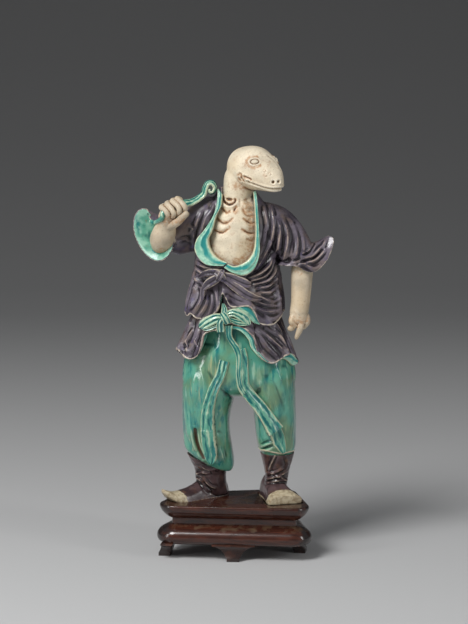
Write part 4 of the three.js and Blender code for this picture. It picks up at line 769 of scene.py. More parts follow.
# %% Carve the robe's folds
ROBE_FOLDS = [
    # Down the lapel and over the shoulder.
    ([(21.3, 239.9), (24.2, 230.6), (25.3, 221.7), (23.3, 212.2), (18.7, 203.4), (14, 195.4)], 1.3, 1.6),
    ([(27.4, 228.1), (29.5, 219), (28.1, 208.6), (24.3, 199.2), (19.6, 194.2), (10.8, 188.1)], 1.5, 1.8),
    ([(18.3, 237.2), (20, 229), (20, 219.8), (18.2, 210), (15.4, 201.8)], 0.7, 1.4),
    ([(30.5, 237.2), (37.4, 231.6), (42.9, 222.5), (46.5, 214.5), (47.9, 209.2)], 0.8, 1.6),
    # Down the lowered sleeve and round its cuff.
    ([(30.7, 227.8), (33.6, 219.8), (34.2, 211.6), (32.6, 202.9), (30.8, 198.5)], 1.2, 1.6),
    ([(35.8, 227.5), (39.5, 219.7), (40.8, 211.5), (39.9, 204.2), (37.2, 199.4)], 1.2, 1.6),
    ([(40.5, 222.9), (43.9, 215.8), (45, 208.6), (43.8, 203.3)], 1.0, 1.5),
    ([(27.9, 219.1), (28.8, 210.5), (29, 202.4), (28.8, 197)], 0.9, 1.4),
    ([(33.5, 196.9), (40.8, 198.5), (46.4, 196.7), (51.6, 194.1), (56.4, 195.6)], 1.0, 1.3),
    ([(44.5, 201.4), (50.2, 202.9), (54.9, 206.2), (58.7, 210.1), (61.5, 212.2)], 1.1, 1.5),
    ([(48.3, 204.8), (52.1, 208.1), (56, 210.8), (59.7, 213.4)], 0.8, 1.3),
    ([(46.4, 198.9), (52, 199.6), (56.7, 203.5), (60, 207.9)], 0.8, 1.3),
    ([(44.2, 203.4), (48.4, 204.8), (52.4, 209.4)], -1.3, 0.9),
    ([(40.6, 197.9), (46.4, 199.6), (52.6, 201.4), (57.4, 206.4)], -1.5, 1.0),
    ([(57.6, 207.4), (60.6, 212.6), (63.4, 213.6)], 1.0, 1.1),
    # Swags from the tie up to the armpit.
    ([(9, 189.1), (15.9, 192.1), (21.5, 196.8), (24.3, 202.9)], 1.7, 1.2),
    ([(10.8, 187.4), (18.2, 189.3), (23.3, 193.5), (25.8, 199)], 1.7, 1.2),
    ([(12.7, 185.1), (20.5, 186.7), (25.2, 190.8), (26.9, 195.7)], 1.7, 1.2),
    ([(15, 182.5), (22.4, 183.3), (26.9, 186.9)], 1.0, 1.3),
    ([(15.9, 179.6), (23.4, 179.1), (27.3, 182.4)], 1.0, 1.3),
    ([(14, 178.6), (19.6, 174.9), (25.2, 172.5), (29.5, 174.3)], 1.0, 1.3),
    # Across the skirt's right flap.
    ([(-5.8, 181.5), (0.2, 177.5), (7.6, 174.5), (14, 169.4), (20.5, 166.9), (28, 166.2)], 1.3, 1.8),
    ([(1.1, 179.3), (7.6, 176.8), (15, 173.5), (22.4, 170.8), (29, 169.9)], 0.9, 1.3),
    ([(-4.9, 177.4), (1.1, 173.9), (7.6, 171.7), (13.1, 166.9), (17.3, 162.1), (23.3, 159.9)], 0.8, 1.5),
    ([(19.6, 164.3), (25.2, 161.8), (29.9, 163.8)], 0.7, 1.4),
    # Left of the tie.
    ([(-27.2, 194), (-23.3, 192.2), (-20.6, 188.9)], 1.0, 1.2),
    ([(-27.7, 188.9), (-24.8, 186), (-21.4, 184.5)], 1.0, 1.2),
    ([(-27.8, 181.8), (-26.2, 178.6), (-28.1, 174.4), (-30.2, 169.5)], 0.9, 1.4),
    ([(-22.4, 179.3), (-22.9, 173.9), (-26.1, 168.3), (-30.7, 163.9)], 1.1, 1.5),
    ([(-18.7, 179.6), (-19.3, 172.3), (-22.4, 166.5), (-26.3, 161.1)], 1.0, 1.4),
    ([(-13.6, 184.1), (-12.2, 176.5), (-11.6, 170.2), (-13.6, 164.6)], 1.1, 1.6),
    ([(-16.2, 178.7), (-15.3, 173.5), (-16.8, 167.5), (-18.6, 164)], 0.8, 1.2),
    ([(-26.8, 198.2), (-21, 195.7), (-13.6, 195.3), (-8.1, 196.9)], 0.9, 1.2),
    # On the raised sleeve.
    ([(-17.3, 232.5), (-20.5, 225.3), (-22.4, 218.8), (-24.6, 213.2)], 1.0, 1.6),
    ([(-22.9, 230.7), (-26.1, 223.4), (-27.5, 215.9), (-27.1, 208)], 0.9, 1.5),
    ([(-30.7, 223), (-28.4, 221.1), (-29.8, 217.4)], 0.8, 1.2),
    ([(-13.7, 237.7), (-16.4, 230.7), (-18.7, 223.4)], 0.8, 1.4),
    ([(-37.6, 212.4), (-33, 214.1), (-28.5, 212.1)], 0.7, 1.4),
]
ROBE_BACK = (
    spread([(-26, 232), (-17, 216), (-14, 200), (-15, 184), (-19, 167)],
           [(26, 232), (17, 216), (14, 200), (15, 184), (19, 167)], 8, 1.0, 2.0)
    + spread([(-26, 192), (-28, 178), (-30, 166)], [(26, 192), (28, 178), (30, 166)], 10, 0.6, 1.4)
    + [([(-52, 226), (-40, 213), (-24, 206)], 0.9, 2), ([(-50, 216), (-38, 206), (-26, 203)], 0.9, 2),
       ([(46, 214), (36, 207), (26, 206)], 0.9, 2), ([(50, 206), (40, 201), (30, 199)], 0.9, 1.8)]
)
ROBE_SIDE = spread([(-10, 192), (-10, 180), (-11, 166)], [(14, 192), (14, 180), (14, 166)], 5, 1.0, 1.8)


def near_line_mark(obj, name, line, width):
    d, _ = near(places(obj), line)
    mark(obj, name, np.exp(-((d / width) ** 2)))


# The cuffs run out to thin points, where the folds fade so that they don't press through.
TIP_AT, TIP_LONG = 63.0, 5.0
carve(robe, "front", ROBE_FOLDS, lambda p: np.clip((TIP_AT - np.abs(p[:, 0])) / TIP_LONG, 0.1, 1), slim=0.8)
carve(robe, "back", ROBE_BACK)
for side in ("left", "right"):
    carve(robe, side, ROBE_SIDE, lambda p: np.clip((193 - p[:, 2]) / 4, 0, 1))
calm(robe, 1)
measure_relief(robe)
hems = [closed_line(line, 300) for line in (UPPER_HEM, RAISED_CUFF, LOWERED_CUFF)]
edge = np.max([np.exp(-((near(places(robe), np.vstack([h, h[:1]]))[0] / 0.8) ** 2)) for h in hems], axis=0)
mark(robe, "edge", edge)
# Inside each cuff the lining is painted pale near the lip and dark further in: painted light at the lip and
# painted shade inside the sleeve.
inner = np.min([near(places(robe), np.vstack([h, h[:1]]))[0] for h in hems[1:]], axis=0)
mark(robe, "deep", np.clip(inner / 15, 0, 1) * (places(robe)[:, 2] > 190))
print("robe carved")

# %% [markdown]
# ## The robe's lower tier
# Below the robe hangs a second tier with a deeper, livelier hem that rises in front to show the
# trousers. It is made and carved in the same way, as a piece of its own, so that its hem stays crisp.

# %% The lower tier
under_part = skirt("under_robe", LOWER_HEM, [170, 0.4, 0.8, 27.6, 21], 1.3, 15, 1.3)
memory = remember([under_part], LINED)
under_robe = fused("under_robe", [under_part], 0.44)
recall(under_robe, LINED, memory)
calm(under_robe, 2)
UNDER_FOLDS = [
    ([(-28.6, 152.3), (-32.4, 146.4), (-36.6, 141)], 1.1, 1.5),
    ([(-24.8, 152.9), (-26.7, 146.5), (-30, 139.8)], 1.1, 1.5),
    ([(-21, 155), (-21.9, 147.7), (-23.8, 138.8)], 1.0, 1.4),
    ([(-29.6, 157.2), (-28.5, 153.8), (-31.3, 149.1), (-34.3, 145.2)], 0.8, 1.2),
    ([(1.1, 156.5), (7.6, 154.3), (12.2, 149.8), (15, 141.2)], 1.0, 1.4),
    ([(7.6, 157.2), (15.9, 150.7), (21.5, 144.2), (27.1, 137.9)], 1.2, 1.6),
    ([(14.1, 155.6), (23.4, 148.6), (29.9, 141.6), (35.3, 136)], 1.2, 1.6),
    ([(20.6, 155.3), (29, 148.9), (35.1, 141.1)], 1.0, 1.4),
    ([(27.2, 157), (32.3, 149.6), (37.1, 140.5)], 0.9, 1.3),
    ([(16.7, 147.4), (21.2, 141.9), (27.2, 136.5)], 1.0, 1.5),
    ([(22.7, 147.8), (29.7, 142.3), (36.2, 138.8)], 1.0, 1.5),
    ([(-32.9, 144.8), (-32, 140.7), (-30.6, 137.7)], 0.9, 1.3),
    ([(-26.8, 147.3), (-25.6, 142.6), (-27.2, 138.2)], 0.9, 1.3),
]
UNDER_BACK = spread([(-24, 160), (-27, 148), (-31, 134)], [(24, 160), (27, 148), (31, 134)], 11, 1.1, 1.6)
UNDER_SIDE = spread([(-12, 160), (-13, 148), (-14, 136)], [(14, 160), (15, 148), (16, 136)], 6, 1.1, 1.6)
SKIRT_VALLEY = 0.4 * CLOTH
carve(under_robe, "front", UNDER_FOLDS, slim=0.85, deepest=SKIRT_VALLEY)
carve(under_robe, "back", UNDER_BACK, deepest=SKIRT_VALLEY)
for side in ("left", "right"):
    carve(under_robe, side, UNDER_SIDE, deepest=SKIRT_VALLEY)
measure_relief(under_robe)
hem = closed_line(LOWER_HEM, 300)
near_line_mark(under_robe, "edge", np.vstack([hem, hem[:1]]), 0.8)
# The lower tier's lining takes one middling value of that painted lip light and inner shade.
mark(under_robe, "deep", np.full(len(under_robe.data.vertices), 0.2))
print("lower tier:", len(under_robe.data.vertices), "points")

# %% [markdown]
# ## Ribbons, collar and ties
# Ribbons and bands were cut from thin slabs, grooved along their length and laid on the body. Each is
# one skin whose rings are the ribbon's section: two edges and a middle rib, with a groove between. The
# place across the ribbon is kept for the glaze, which is cream on the ribs and deep turquoise between.

# %% Ribbons
RIBBON_SECTION = np.r_[np.linspace(-1, 1, 29), 1, 0.6, 0, -0.6, -1]


def ribbed(across, thick, ribs):
    """Height over a ribbon's width: a soft pad with `ribs` ribs and grooves between them."""
    wave = 0.84 + 0.16 * np.cos(math.pi * (ribs - 1) * (across / 0.86 + 1))
    return thick * wave * np.sqrt(np.clip(1 - 0.97 * np.abs(across) ** 4, 0, 1))


def ribbon(name, rows, thick, ribs=3, sunk=4.0, steps=8, cream=0.0):
    """A ribbon hanging in front of the body: rows of [x, y, z, half width]."""
    at = through(rows, steps)
    rings = []
    top = ribbed(RIBBON_SECTION[:29], thick, ribs)
    for i, (x, y, z, half) in enumerate(at):
        centre = np.array([x, y, z])
        ahead = unit(at[min(i + 1, len(at) - 1), :3] - at[max(i - 1, 0), :3])
        out = unit(np.array([0.5 * x / 40, -1, 0]))
        across = unit(np.cross(ahead, out))
        out = unit(np.cross(across, ahead))
        if out[1] > 0:
            out = -out
        height = np.r_[top, -sunk, -sunk, -sunk, -sunk, -sunk]
        rings.append([centre + across * u * half + out * h for u, h in zip(RIBBON_SECTION, height)])
    obj = skin(name, rings)
    mark(obj, "across", np.tile(RIBBON_SECTION, len(at)))
    mark(obj, "cream", np.full(len(obj.data.vertices), cream))
    return obj


TROUSER_RIBBON = [
    [-7.4, -21.5, 134.2, 3.3], [-9.8, -21.5, 125, 3.3], [-14.4, -20.5, 115, 3.6], [-17.4, -18.9, 105, 3.9],
    [-18.6, -17.5, 96, 4.4], [-18.6, -16.5, 86.4, 4.6],
]
RIBBON_TIP = [
    [-18.6, -16.9, 86.8, 4.7], [-18, -15.5, 79, 4.9], [-16.8, -14.1, 71, 4.6], [-16.2, -13.2, 66, 3.6],
    [-16.1, -12.9, 63.4, 1.6],
]
SASH_CORD = [
    [-4.6, -24.7, 158.4, 2.8], [-4.3, -24.3, 152, 2], [-2.4, -23.9, 147.6, 1.9], [0.6, -23.9, 143, 2.2],
    [2.4, -23.7, 137, 2.1], [2.2, -23.3, 128, 1.9], [2.8, -22.5, 119, 1.8], [6, -20.7, 112.4, 1.6],
]
SASH_RIBBON = [
    [3.4, -22.7, 142.4, 3.2], [4.3, -22.5, 136, 3.9], [4.4, -22.3, 126, 4.2], [5.4, -21.1, 117.4, 4.2],
    [9.6, -19.5, 110.6, 4.2], [15.4, -18.5, 103.6, 4.3], [20.4, -17.7, 96.6, 4.6], [24.6, -16.7, 89.8, 5.2],
    [26.8, -16.1, 86, 5.9],
]
SASH_TIP = [
    [25.4, -14.5, 90, 3.4], [27.4, -13.5, 84, 4.4], [29.2, -12.7, 78, 4.4], [31, -12, 73.4, 3],
    [31.8, -11.4, 70.4, 1.4],
]
SASH_BOW = {
    "left_loop": [[-6.6, -25.1, 163.6, 1.6], [-11.6, -25.7, 163.6, 3], [-17, -25.3, 161.4, 3.6],
                  [-21, -24.1, 158.8, 3.2], [-23, -23.1, 157, 1.4]],
    "left_turn": [[-22, -23.1, 157.6, 1.6], [-18.5, -23.9, 156.6, 2.2], [-12.6, -24.3, 158.8, 2],
                  [-8.4, -24.3, 161.4, 1.4]],
    "right_loop": [[-6.6, -25.1, 165.6, 1.6], [-1, -25.9, 167, 2.8], [4, -25.7, 164.8, 3.2],
                   [7.4, -24.9, 161.6, 2.6], [8.8, -24.3, 159.2, 1.3]],
    "right_turn": [[8.2, -24.1, 160, 1.4], [4, -24.5, 160, 2], [-1.6, -24.7, 161.8, 1.8],
                   [-5.4, -24.5, 163.8, 1.2]],
    "short_tail": [[-8.4, -26, 164, 1.8], [-10, -26.1, 160, 2.4], [-9.6, -25.5, 154.4, 2.7]],
    "knot_top": [[-7.9, -23.9, 172.4, 0.9], [-7.2, -25.3, 169, 2], [-7.4, -26.1, 165.4, 2.3]],
    "knot": [[-8.6, -26.1, 166.8, 1.8], [-6.8, -27.3, 164.2, 2.6], [-5, -26.3, 160.4, 2.2]],
}
ribbons = joined("ribbons", [
    ribbon("trouser_ribbon", TROUSER_RIBBON, 2.3, steps=20), ribbon("ribbon_tip", RIBBON_TIP, 2.2, steps=14),
    ribbon("sash_cord", SASH_CORD, 1.7, ribs=2, steps=14, cream=0.4),
    ribbon("sash_ribbon", SASH_RIBBON, 2, steps=16), ribbon("sash_tip", SASH_TIP, 1.8, ribs=2, steps=12),
    *[ribbon(name, rows, 2.2, cream=0.9) for name, rows in SASH_BOW.items()],
])
measure_relief(ribbons, 2, 10, 0.4)
print("ribbons:", len(ribbons.data.vertices), "points")

# %% The robe's own tie
TIE = {
    "left_band": [[-9, -21.7, 192.4, 2.4], [-15, -21.5, 193, 2.6], [-20, -19.3, 192, 2],
                  [-23.6, -16.8, 189.8, 1]],
    "loop": [[-9.6, -22.7, 190.6, 2], [-13.4, -23.7, 188.6, 3], [-17.4, -23.1, 186, 3],
             [-20.4, -21.5, 183, 1.8], [-21.4, -20.7, 181.4, 0.8]],
    "loop_tail": [[-20.6, -20.9, 184, 1.1], [-21.4, -20.7, 180, 1.7], [-21.4, -20.1, 175, 0.7]],
    "upper_tail": [[-8.4, -22.9, 192, 1.8], [-3, -23.5, 190.2, 2.6], [2.4, -23.5, 187.6, 3.2],
                   [7, -22.7, 185.6, 3], [9.8, -22.1, 185.4, 1.6]],
    "lower_tail": [[-8.6, -22.7, 190, 1.8], [-3.4, -23.7, 186.2, 2.6], [2, -24.3, 182.4, 3.1],
                   [7, -24.1, 178.8, 3], [12, -23.3, 176.6, 2.4], [17, -21.7, 175.8, 0.9]],
    "knot": [[-12.4, -23.3, 193.2, 1.8], [-10, -25.1, 191.4, 3], [-7.6, -23.9, 188.6, 2]],
    "knot_fold": [[-8.4, -23.9, 194.4, 1.4], [-9.8, -25.7, 191.6, 1.9], [-11.4, -24.1, 188.4, 1.4]],
}
robe_tie = joined("robe_tie", [
    ribbon(f"tie_{name}", rows, 2.3, ribs=2, steps=12) for name, rows in TIE.items()
])
measure_relief(robe_tie, 2, 10, 0.3)
across = np.abs(read_mark(robe_tie, "across"))
mark(robe_tie, "edge", np.clip((across - 0.62) / 0.25, 0, 1) * (across < 0.999))
# The middle groove of each band is marked hollow too, so it takes the painted shade of the hollows.
mark(robe_tie, "hollow", np.maximum(read_mark(robe_tie, "hollow"), 0.5 * np.exp(-((across / 0.22) ** 2))))
for name in (LINED, "deep"):
    mark(robe_tie, name, np.zeros(len(robe_tie.data.vertices)))
print("robe tie:", len(robe_tie.data.vertices), "points")

# %% The collar
LEFT_COLLAR = [
    [-8.6, 243, -11.6, 247, -9], [-9.4, 236, -12.4, 236.6, -13.5], [-12.4, 230.1, -15, 229, -15.8],
    [-15.2, 220.4, -20.7, 220.4, -18.3], [-17.9, 214.2, -25.5, 214.4, -19.2],
    [-16.1, 207.4, -26.3, 206.4, -20], [-11.4, 202.3, -19.6, 198.4, -21.8], [-5.4, 199.6, -8, 197.4, -22.6],
]
RIGHT_COLLAR = [
    [-5, 198.8, -7.6, 196.4, -23.4], [-0.5, 197.4, -2, 193, -23.8], [5.9, 199.7, 6, 191.3, -23.6],
    [10, 203.5, 12.5, 196, -22.6], [12.3, 208.4, 15.6, 205.5, -21.4], [13.2, 218.2, 15.4, 216.5, -19.8],
    [12.9, 230, 14.8, 229, -17.4], [12.2, 240, 14, 240, -13.4], [11.6, 245, 13.4, 245.5, -9.5],
]


def collar(name, rows):
    """A band round the opening: rows of [inner x, inner z, outer x, outer z, depth]."""
    rings = []
    shares = RIBBON_SECTION
    height = np.r_[0.2 + ribbed(shares[:29], 1.5, 3) - 0.3 * (shares[:29] < -0.6),
                   -2.4, -2.4, -2.4, -2.4, -2.4]
    at = through(rows, 12)
    for xi, zi, xo, zo, y in at:
        centre = np.array([(xi + xo) / 2, y, (zi + zo) / 2])
        reach = np.array([xo - xi, 0, zo - zi]) / 2
        out = unit(np.array([0.35 * centre[0] / 20, -1, 0]))
        rings.append([centre + reach * u + out * h for u, h in zip(shares, height)])
    obj = skin(name, rings)
    mark(obj, "across", np.tile(shares, len(at)))
    mark(obj, "cream", np.zeros(len(obj.data.vertices)))
    return obj


collar_bands = joined("collar", [collar("left_collar", LEFT_COLLAR), collar("right_collar", RIGHT_COLLAR)])
measure_relief(collar_bands, 2, 10)

# %% The strap over the shoulder
STRAP = [
    [-38, -18, 238], [-33, -15, 238], [-28.5, -11, 238.4], [-24.4, -8.6, 240.4], [-21, -7.4, 243.4],
    [-20, -7.4, 247], [-18.2, -6.8, 250.2], [-15.2, -6.6, 250.4], [-13.4, -6.6, 247.6], [-14.6, -6.6, 244.4],
    [-17, -6.6, 244.2], [-17.8, -6.6, 246.6],
]


def strap_skin():
    at = through(STRAP, 10)
    angles = np.linspace(0, 2 * math.pi, 20, endpoint=False)
    rings = []
    for i, centre in enumerate(at):
        ahead = unit(at[min(i + 1, len(at) - 1)] - at[max(i - 1, 0)])
        deep = unit(np.array([0, 1.0, 0]) - ahead * ahead[1])
        thick = np.cross(ahead, deep)
        lean = math.radians(30 * (1 - i / len(at)) + 8)
        deep, thick = (deep * math.cos(lean) + thick * math.sin(lean),
                       thick * math.cos(lean) - deep * math.sin(lean))
        u, v = oval(angles, 3.2, 1.15, 3)
        rings.append([centre + deep * a + thick * b for a, b in zip(u, v)])
    obj = skin("strap", rings)
    mark(obj, "across", np.tile(np.cos(angles), len(at)))
    return obj


strap_end = limb("strap_end", STRAP_END, 20)
mark(strap_end, "across", np.full(len(strap_end.data.vertices), 0.7))
strap = joined("strap", [strap_skin(), strap_end])
mark(strap, "cream", np.full(len(strap.data.vertices), 0.5))
measure_relief(strap, 2, 8, 0.4)
print("collar and strap made")

# %% The turned-back linings
# Where a hem swings outward, a strip of its turquoise lining shows: rows of [hem x, hem z, low x, low z, y].
LININGS = [
    [[-3.2, 171, -2.6, 170.2, -23.4], [2.4, 171.8, 2, 168.8, -23.4], [7.4, 171.8, 5, 166.2, -23.4],
     [11.2, 169, 8.2, 162.8, -23], [13.8, 164, 12, 159.6, -22.4], [16, 160.4, 15.4, 158.4, -21.4]],
    [[-2, 158, -2.3, 156.4, -23.6], [6, 156.6, 3.2, 154.4, -23.8], [11.4, 151.2, 8.4, 148.6, -23.8],
     [13.2, 144, 10.4, 143, -23.4], [18.6, 136.6, 14.8, 137.6, -22.6], [22, 133.8, 19.4, 133.6, -21.6]],
    [[30.4, 136.2, 30.6, 135, -15.2], [35.4, 138.2, 34.2, 132.6, -12], [38.8, 135.4, 37.6, 129, -9],
     [41.2, 132, 40.4, 129.8, -6]],
]
linings = joined("linings", [collar(f"lining_{i}", rows) for i, rows in enumerate(LININGS)])
measure_relief(linings, 2, 10, 0.4)
print("linings:", len(linings.data.vertices), "points")

# %% [markdown]
# ## The trousers
# The trousers are two full legs under a hip block, smooth and heavily glazed, with soft hanging folds
# and a slit at the side of the viewer's left knee. Three skins of level ovals are fused.

# %% Trousers
HIPS = [
    [164, 0.5, 1, 27, 19], [150, 0.8, 1, 31.5, 21.5], [137, 1.6, 1, 35, 23],
    [125, 2.4, 1, 37.8, 23.4], [116, 2.5, 1.4, 37.4, 22], [110.5, 3, 2, 31, 17.5], [107.6, 3.6, 2, 19, 11],
]
LEFT_LEG = [
    [140, -12, 1.5, 15, 16], [126, -15, 1.4, 18.6, 21], [114, -17, 1.6, 18.6, 22],
    [102, -18.7, 2.6, 17.1, 20.2], [91, -19.7, 3.4, 16, 19], [80, -19.3, 4.2, 16, 18.4],
    [71, -18.2, 5, 16.5, 18.2, -0.1], [65, -17, 5.4, 16.2, 17.4, -0.28], [60.4, -16, 5.8, 13.4, 14.4, -0.4],
    [58.6, -15.6, 6, 9, 10, -0.4],
]
RIGHT_LEG = [
    [140, 18, 1.5, 14, 16], [126, 21.4, 1.4, 17.4, 21], [114, 23.2, 1.6, 16.8, 21.6],
    [102, 25.6, 2.6, 14.8, 19.6], [91, 26.6, 3.2, 14.2, 18.2], [80, 27.2, 3.6, 13.5, 17],
    [73, 27.8, 3.8, 12.8, 16], [68.6, 28, 4, 11.2, 13.4], [64, 28, 4.2, 9.4, 10.8],
]
trousers = fused("trousers", [stacked("hips", HIPS), stacked("left_leg", LEFT_LEG),
                              stacked("right_leg", RIGHT_LEG)], 0.5)
p = places(trousers)
hidden = np.clip((p[:, 2] - 138) / 6, 0, 1)
middle = np.exp(-((p[:, 0] / 17) ** 4)) * (p[:, 1] < 0)
p[:, 0] = 1 + (p[:, 0] - 1) * (1 - 0.13 * hidden)
p[:, 1] = 1 + (p[:, 1] - 1) * (1 - 0.13 * hidden * (1 - middle))
set_places(trousers, p)
calm(trousers, 10)
LEG_FOLDS = [
    ([(-33.5, 125.6), (-34.2, 112.4), (-33.1, 97.4), (-32.1, 83)], 1.0, 3.4),
    ([(-29.5, 131.8), (-27.5, 123.9), (-28.5, 111), (-28.6, 96.1), (-30, 84)], 1.0, 2.6),
    ([(-23.6, 128.8), (-20.7, 118.9), (-22.7, 102.1), (-25, 90)], 0.9, 2.8),
    ([(-10, 106.1), (-8.1, 96.1), (-7.1, 82.2), (-9.4, 66)], 1.0, 2.2),
    ([(-5.2, 102.1), (-4.7, 88.2), (-3.7, 76.2), (-2.6, 67)], 0.8, 2),
    ([(13.3, 123.9), (20.2, 116), (25.1, 107), (30, 96.1)], 1.0, 2.6),
    ([(20.2, 117.9), (24.1, 109), (26.1, 100.1)], -0.8, 2),
    ([(27, 128.8), (30.9, 117.9), (33.8, 106.1), (35.6, 92.1), (35, 80)], 1.1, 2.4),
    ([(33.8, 125.8), (36.4, 114), (37.9, 102.1), (38.3, 88.2), (37.4, 77)], 1.0, 2.2),
    ([(14.8, 99.1), (16.8, 88.2), (17.8, 80.2)], 0.8, 1.8),
    ([(19.6, 96), (21, 87), (21.4, 80)], 0.7, 1.6),
    ([(-31, 93.9), (-30.3, 81.6), (-27.1, 73.5)], 0.8, 1.8),
    ([(-11.5, 81.9), (-10.1, 71.5), (-7.1, 62.7)], 0.9, 1.6),
    ([(-27.1, 86.2), (-26.2, 79.2), (-24.2, 72.6), (-21.4, 66.8)], -1.7, 1.1),
    ([(-28.8, 86), (-28.2, 79), (-26.4, 72.6)], 0.6, 0.8),
    ([(17.8, 73.7), (21.2, 76.2), (24.6, 77.6)], 0.9, 0.9),
    ([(18.4, 72.2), (21.2, 73.8), (24.6, 74.6)], -1.1, 0.9),
]
TROUSER_HEM = [(15.4, 71.2), (17.3, 70.9), (21.2, 71.4), (26.1, 70.4), (31, 69.6), (35.9, 70.2), (40.4, 69.4)]
LEG_BACK = (spread([(-30, 122), (-29, 100), (-24, 70)], [(-10, 118), (-10, 98), (-12, 70)], 4, 0.8, 3.2)
            + spread([(12, 118), (18, 98), (22, 76)], [(34, 120), (38, 98), (36, 76)], 4, 0.8, 3.2))
carve(trousers, "front", LEG_FOLDS)
carve(trousers, "back", LEG_BACK)
flat, share = seen_from(trousers, "front")
d, _ = near(flat, through(TROUSER_HEM, 4))
rim = np.exp(-((d / 0.7) ** 2)) * (flat[:, 0] > 13)
set_places(trousers, places(trousers) + facing(trousers) * (0.6 * rim)[:, None])
measure_relief(trousers, 4, 40)
# The knee slit is painted dark brown: partly its own brown, partly painted shade in its groove.
slit, _ = near(flat, through(LEG_FOLDS[-4][0], 4))
mark(trousers, "edge", rim)
mark(trousers, "stain_and_shade", np.exp(-((slit / 1.5) ** 2)) * (share > 0))
print("trousers:", len(trousers.data.vertices), "points")

# %% [markdown]
# ## The boots
# The boots have tall soft shafts that crumple at the ankle and thick pale soles. The viewer's left one
# ends in a toe that curls up, the other faces the viewer. Each foot is drawn across its length, section
# by section: an upper over a sole. Each sole keeps a mark, for it stays almost bare.

# %% Boots
LEFT_FOOT = {"heel": [-6.6, 17.4], "turn": 215.5, "cream": 37, "rows": [
    [0, 3.8, 0, 2.4, 7], [2.5, 6.5, 0, 2.4, 13], [8, 7.8, 0, 2.4, 18], [16, 7.9, 0, 2.4, 16.5],
    [24, 8, 0, 2.4, 11.6], [31, 8.2, 0, 2.6, 9], [38, 7.9, 0, 3.2, 8], [43.5, 6.4, 1.4, 3.6, 8],
    [48.4, 3.9, 4.8, 3.4, 9.4], [52, 1.3, 8.6, 1.6, 11],
]}
RIGHT_FOOT = {"heel": [21.6, 20.8], "turn": 287.5, "cream": 31, "rows": [
    [0, 3.8, 0, 2.4, 7], [2, 6.2, 0, 2.4, 13], [7, 7.6, 0, 2.4, 17], [14, 7.9, 0, 2.4, 18],
    [21, 8.6, 0, 2.6, 14.5], [28, 10, 0, 3.4, 11.5], [34, 11, 0.1, 4.8, 9.6], [38.2, 11.2, 0.6, 5.6, 8.2],
    [40.4, 10.6, 1.6, 5, 7.6],
]}
LEFT_SHAFT = [
    [38, -14.2, 11.6, 9.2, 9.2], [43, -15.6, 10.4, 9.9, 10.4], [48, -16.6, 9, 10.4, 10.6, -0.05],
    [54, -17, 7.6, 10.7, 11, -0.16], [59, -18, 6, 12.6, 12.6, -0.26], [62.4, -18.6, 5, 14.2, 14, -0.33],
]
RIGHT_SHAFT = [
    [38, 25.2, 10.6, 8, 8.6], [43, 26.6, 8.6, 8, 9.4], [49, 27.8, 6.6, 7.7, 9.6],
    [56, 28, 5, 8.6, 10.4], [63, 28.2, 4, 10.4, 12], [68, 28.2, 3.6, 11.6, 13.4],
]
UPPER_SECTION = [(-0.92, 0), (0, -0.05), (0.92, 0), (0.93, 0.3), (0.8, 0.62), (0.45, 0.9), (0, 1),
                 (-0.45, 0.9), (-0.8, 0.62), (-0.93, 0.3)]
SOLE_SECTION = [(-0.9, 0), (0, -0.02), (0.9, 0), (1.02, 0.22), (1.04, 0.6), (0.9, 0.98), (0.4, 1.12),
                (-0.4, 1.12), (-0.9, 0.98), (-1.04, 0.6), (-1.02, 0.22)]


def foot(name, shape, section, part, count=64):
    turn = math.radians(shape["turn"])
    ahead = np.array([math.cos(turn), math.sin(turn), 0])
    across = np.array([-math.sin(turn), math.cos(turn), 0])
    outline = closed_line([(u, h, 0) for u, h in section], count)
    rings = []
    for length, half, lift, thick, top in through(shape["rows"], 8):
        lift = max(lift, 0)
        low, high = (lift, lift + thick) if part == "sole" else (lift + 0.6 * thick, top)
        base = np.array([*shape["heel"], SOLE_LEVEL]) + ahead * length
        rings.append([base + across * u * half + [0, 0, low + h * (high - low)] for u, h, _ in outline])
    return skin(name, rings)


def boot(name, shape, shaft):
    parts = [stacked("shaft", shaft, 72), foot("upper", shape, UPPER_SECTION, "upper"),
             foot("sole", shape, SOLE_SECTION, "sole")]
    obj = fused(name, parts, 0.4)
    calm(obj, 8)
    # The sole shows as a thin line that widens into a bare, padded toe.
    turn = math.radians(shape["turn"])
    p = places(obj)
    length = (p[:, 0] - shape["heel"][0]) * math.cos(turn) + (p[:, 1] - shape["heel"][1]) * math.sin(turn)
    height = p[:, 2] - SOLE_LEVEL
    line = np.clip(0.5 + (1.5 - height) * 0.6, 0, 1)
    toe = np.clip(0.5 + (length - shape["cream"] - 0.35 * np.maximum(height - 4, 0)) * 0.4, 0, 1)
    mark(obj, "sole", np.maximum(line, toe))
    return obj


BOOT_FOLDS = [
    ([(-27.7, 55.7), (-22.8, 51.2), (-17.9, 45.7), (-14, 43.6)], 1.0, 1.0),
    ([(-25.8, 52.4), (-21.9, 46.7), (-18, 41.6)], 1.0, 1.0),
    ([(-28.7, 50.2), (-24.8, 53.9), (-17.9, 54.6)], 0.8, 0.9),
    ([(-31, 45.7), (-26.7, 49.2), (-22.4, 48.6)], 0.9, 0.9),
    ([(-27.7, 58.6), (-19.9, 58.6), (-13, 54.2)], 0.7, 1.0),
    ([(-30, 64.6), (-24.8, 61.4), (-17.9, 58), (-12, 57.4)], 0.9, 0.9),
    ([(26.6, 68.2), (24.2, 62.2), (22.7, 56.2)], 0.9, 0.8),
    ([(20.2, 49.2), (26.2, 51.7), (31.1, 53.7), (36, 56.6)], 0.9, 0.9),
    ([(20.6, 46.6), (28.2, 49.2), (34.6, 48.6)], 0.8, 0.9),
    ([(24.4, 54.6), (30.1, 51.7), (35, 48.2), (39.8, 43.4)], 0.9, 0.9),
    ([(20.4, 54.2), (26.2, 55.2), (31.1, 58)], 0.7, 0.9),
    ([(33.5, 67.2), (35, 61.2), (33.5, 56.2)], 0.7, 1.0),
]
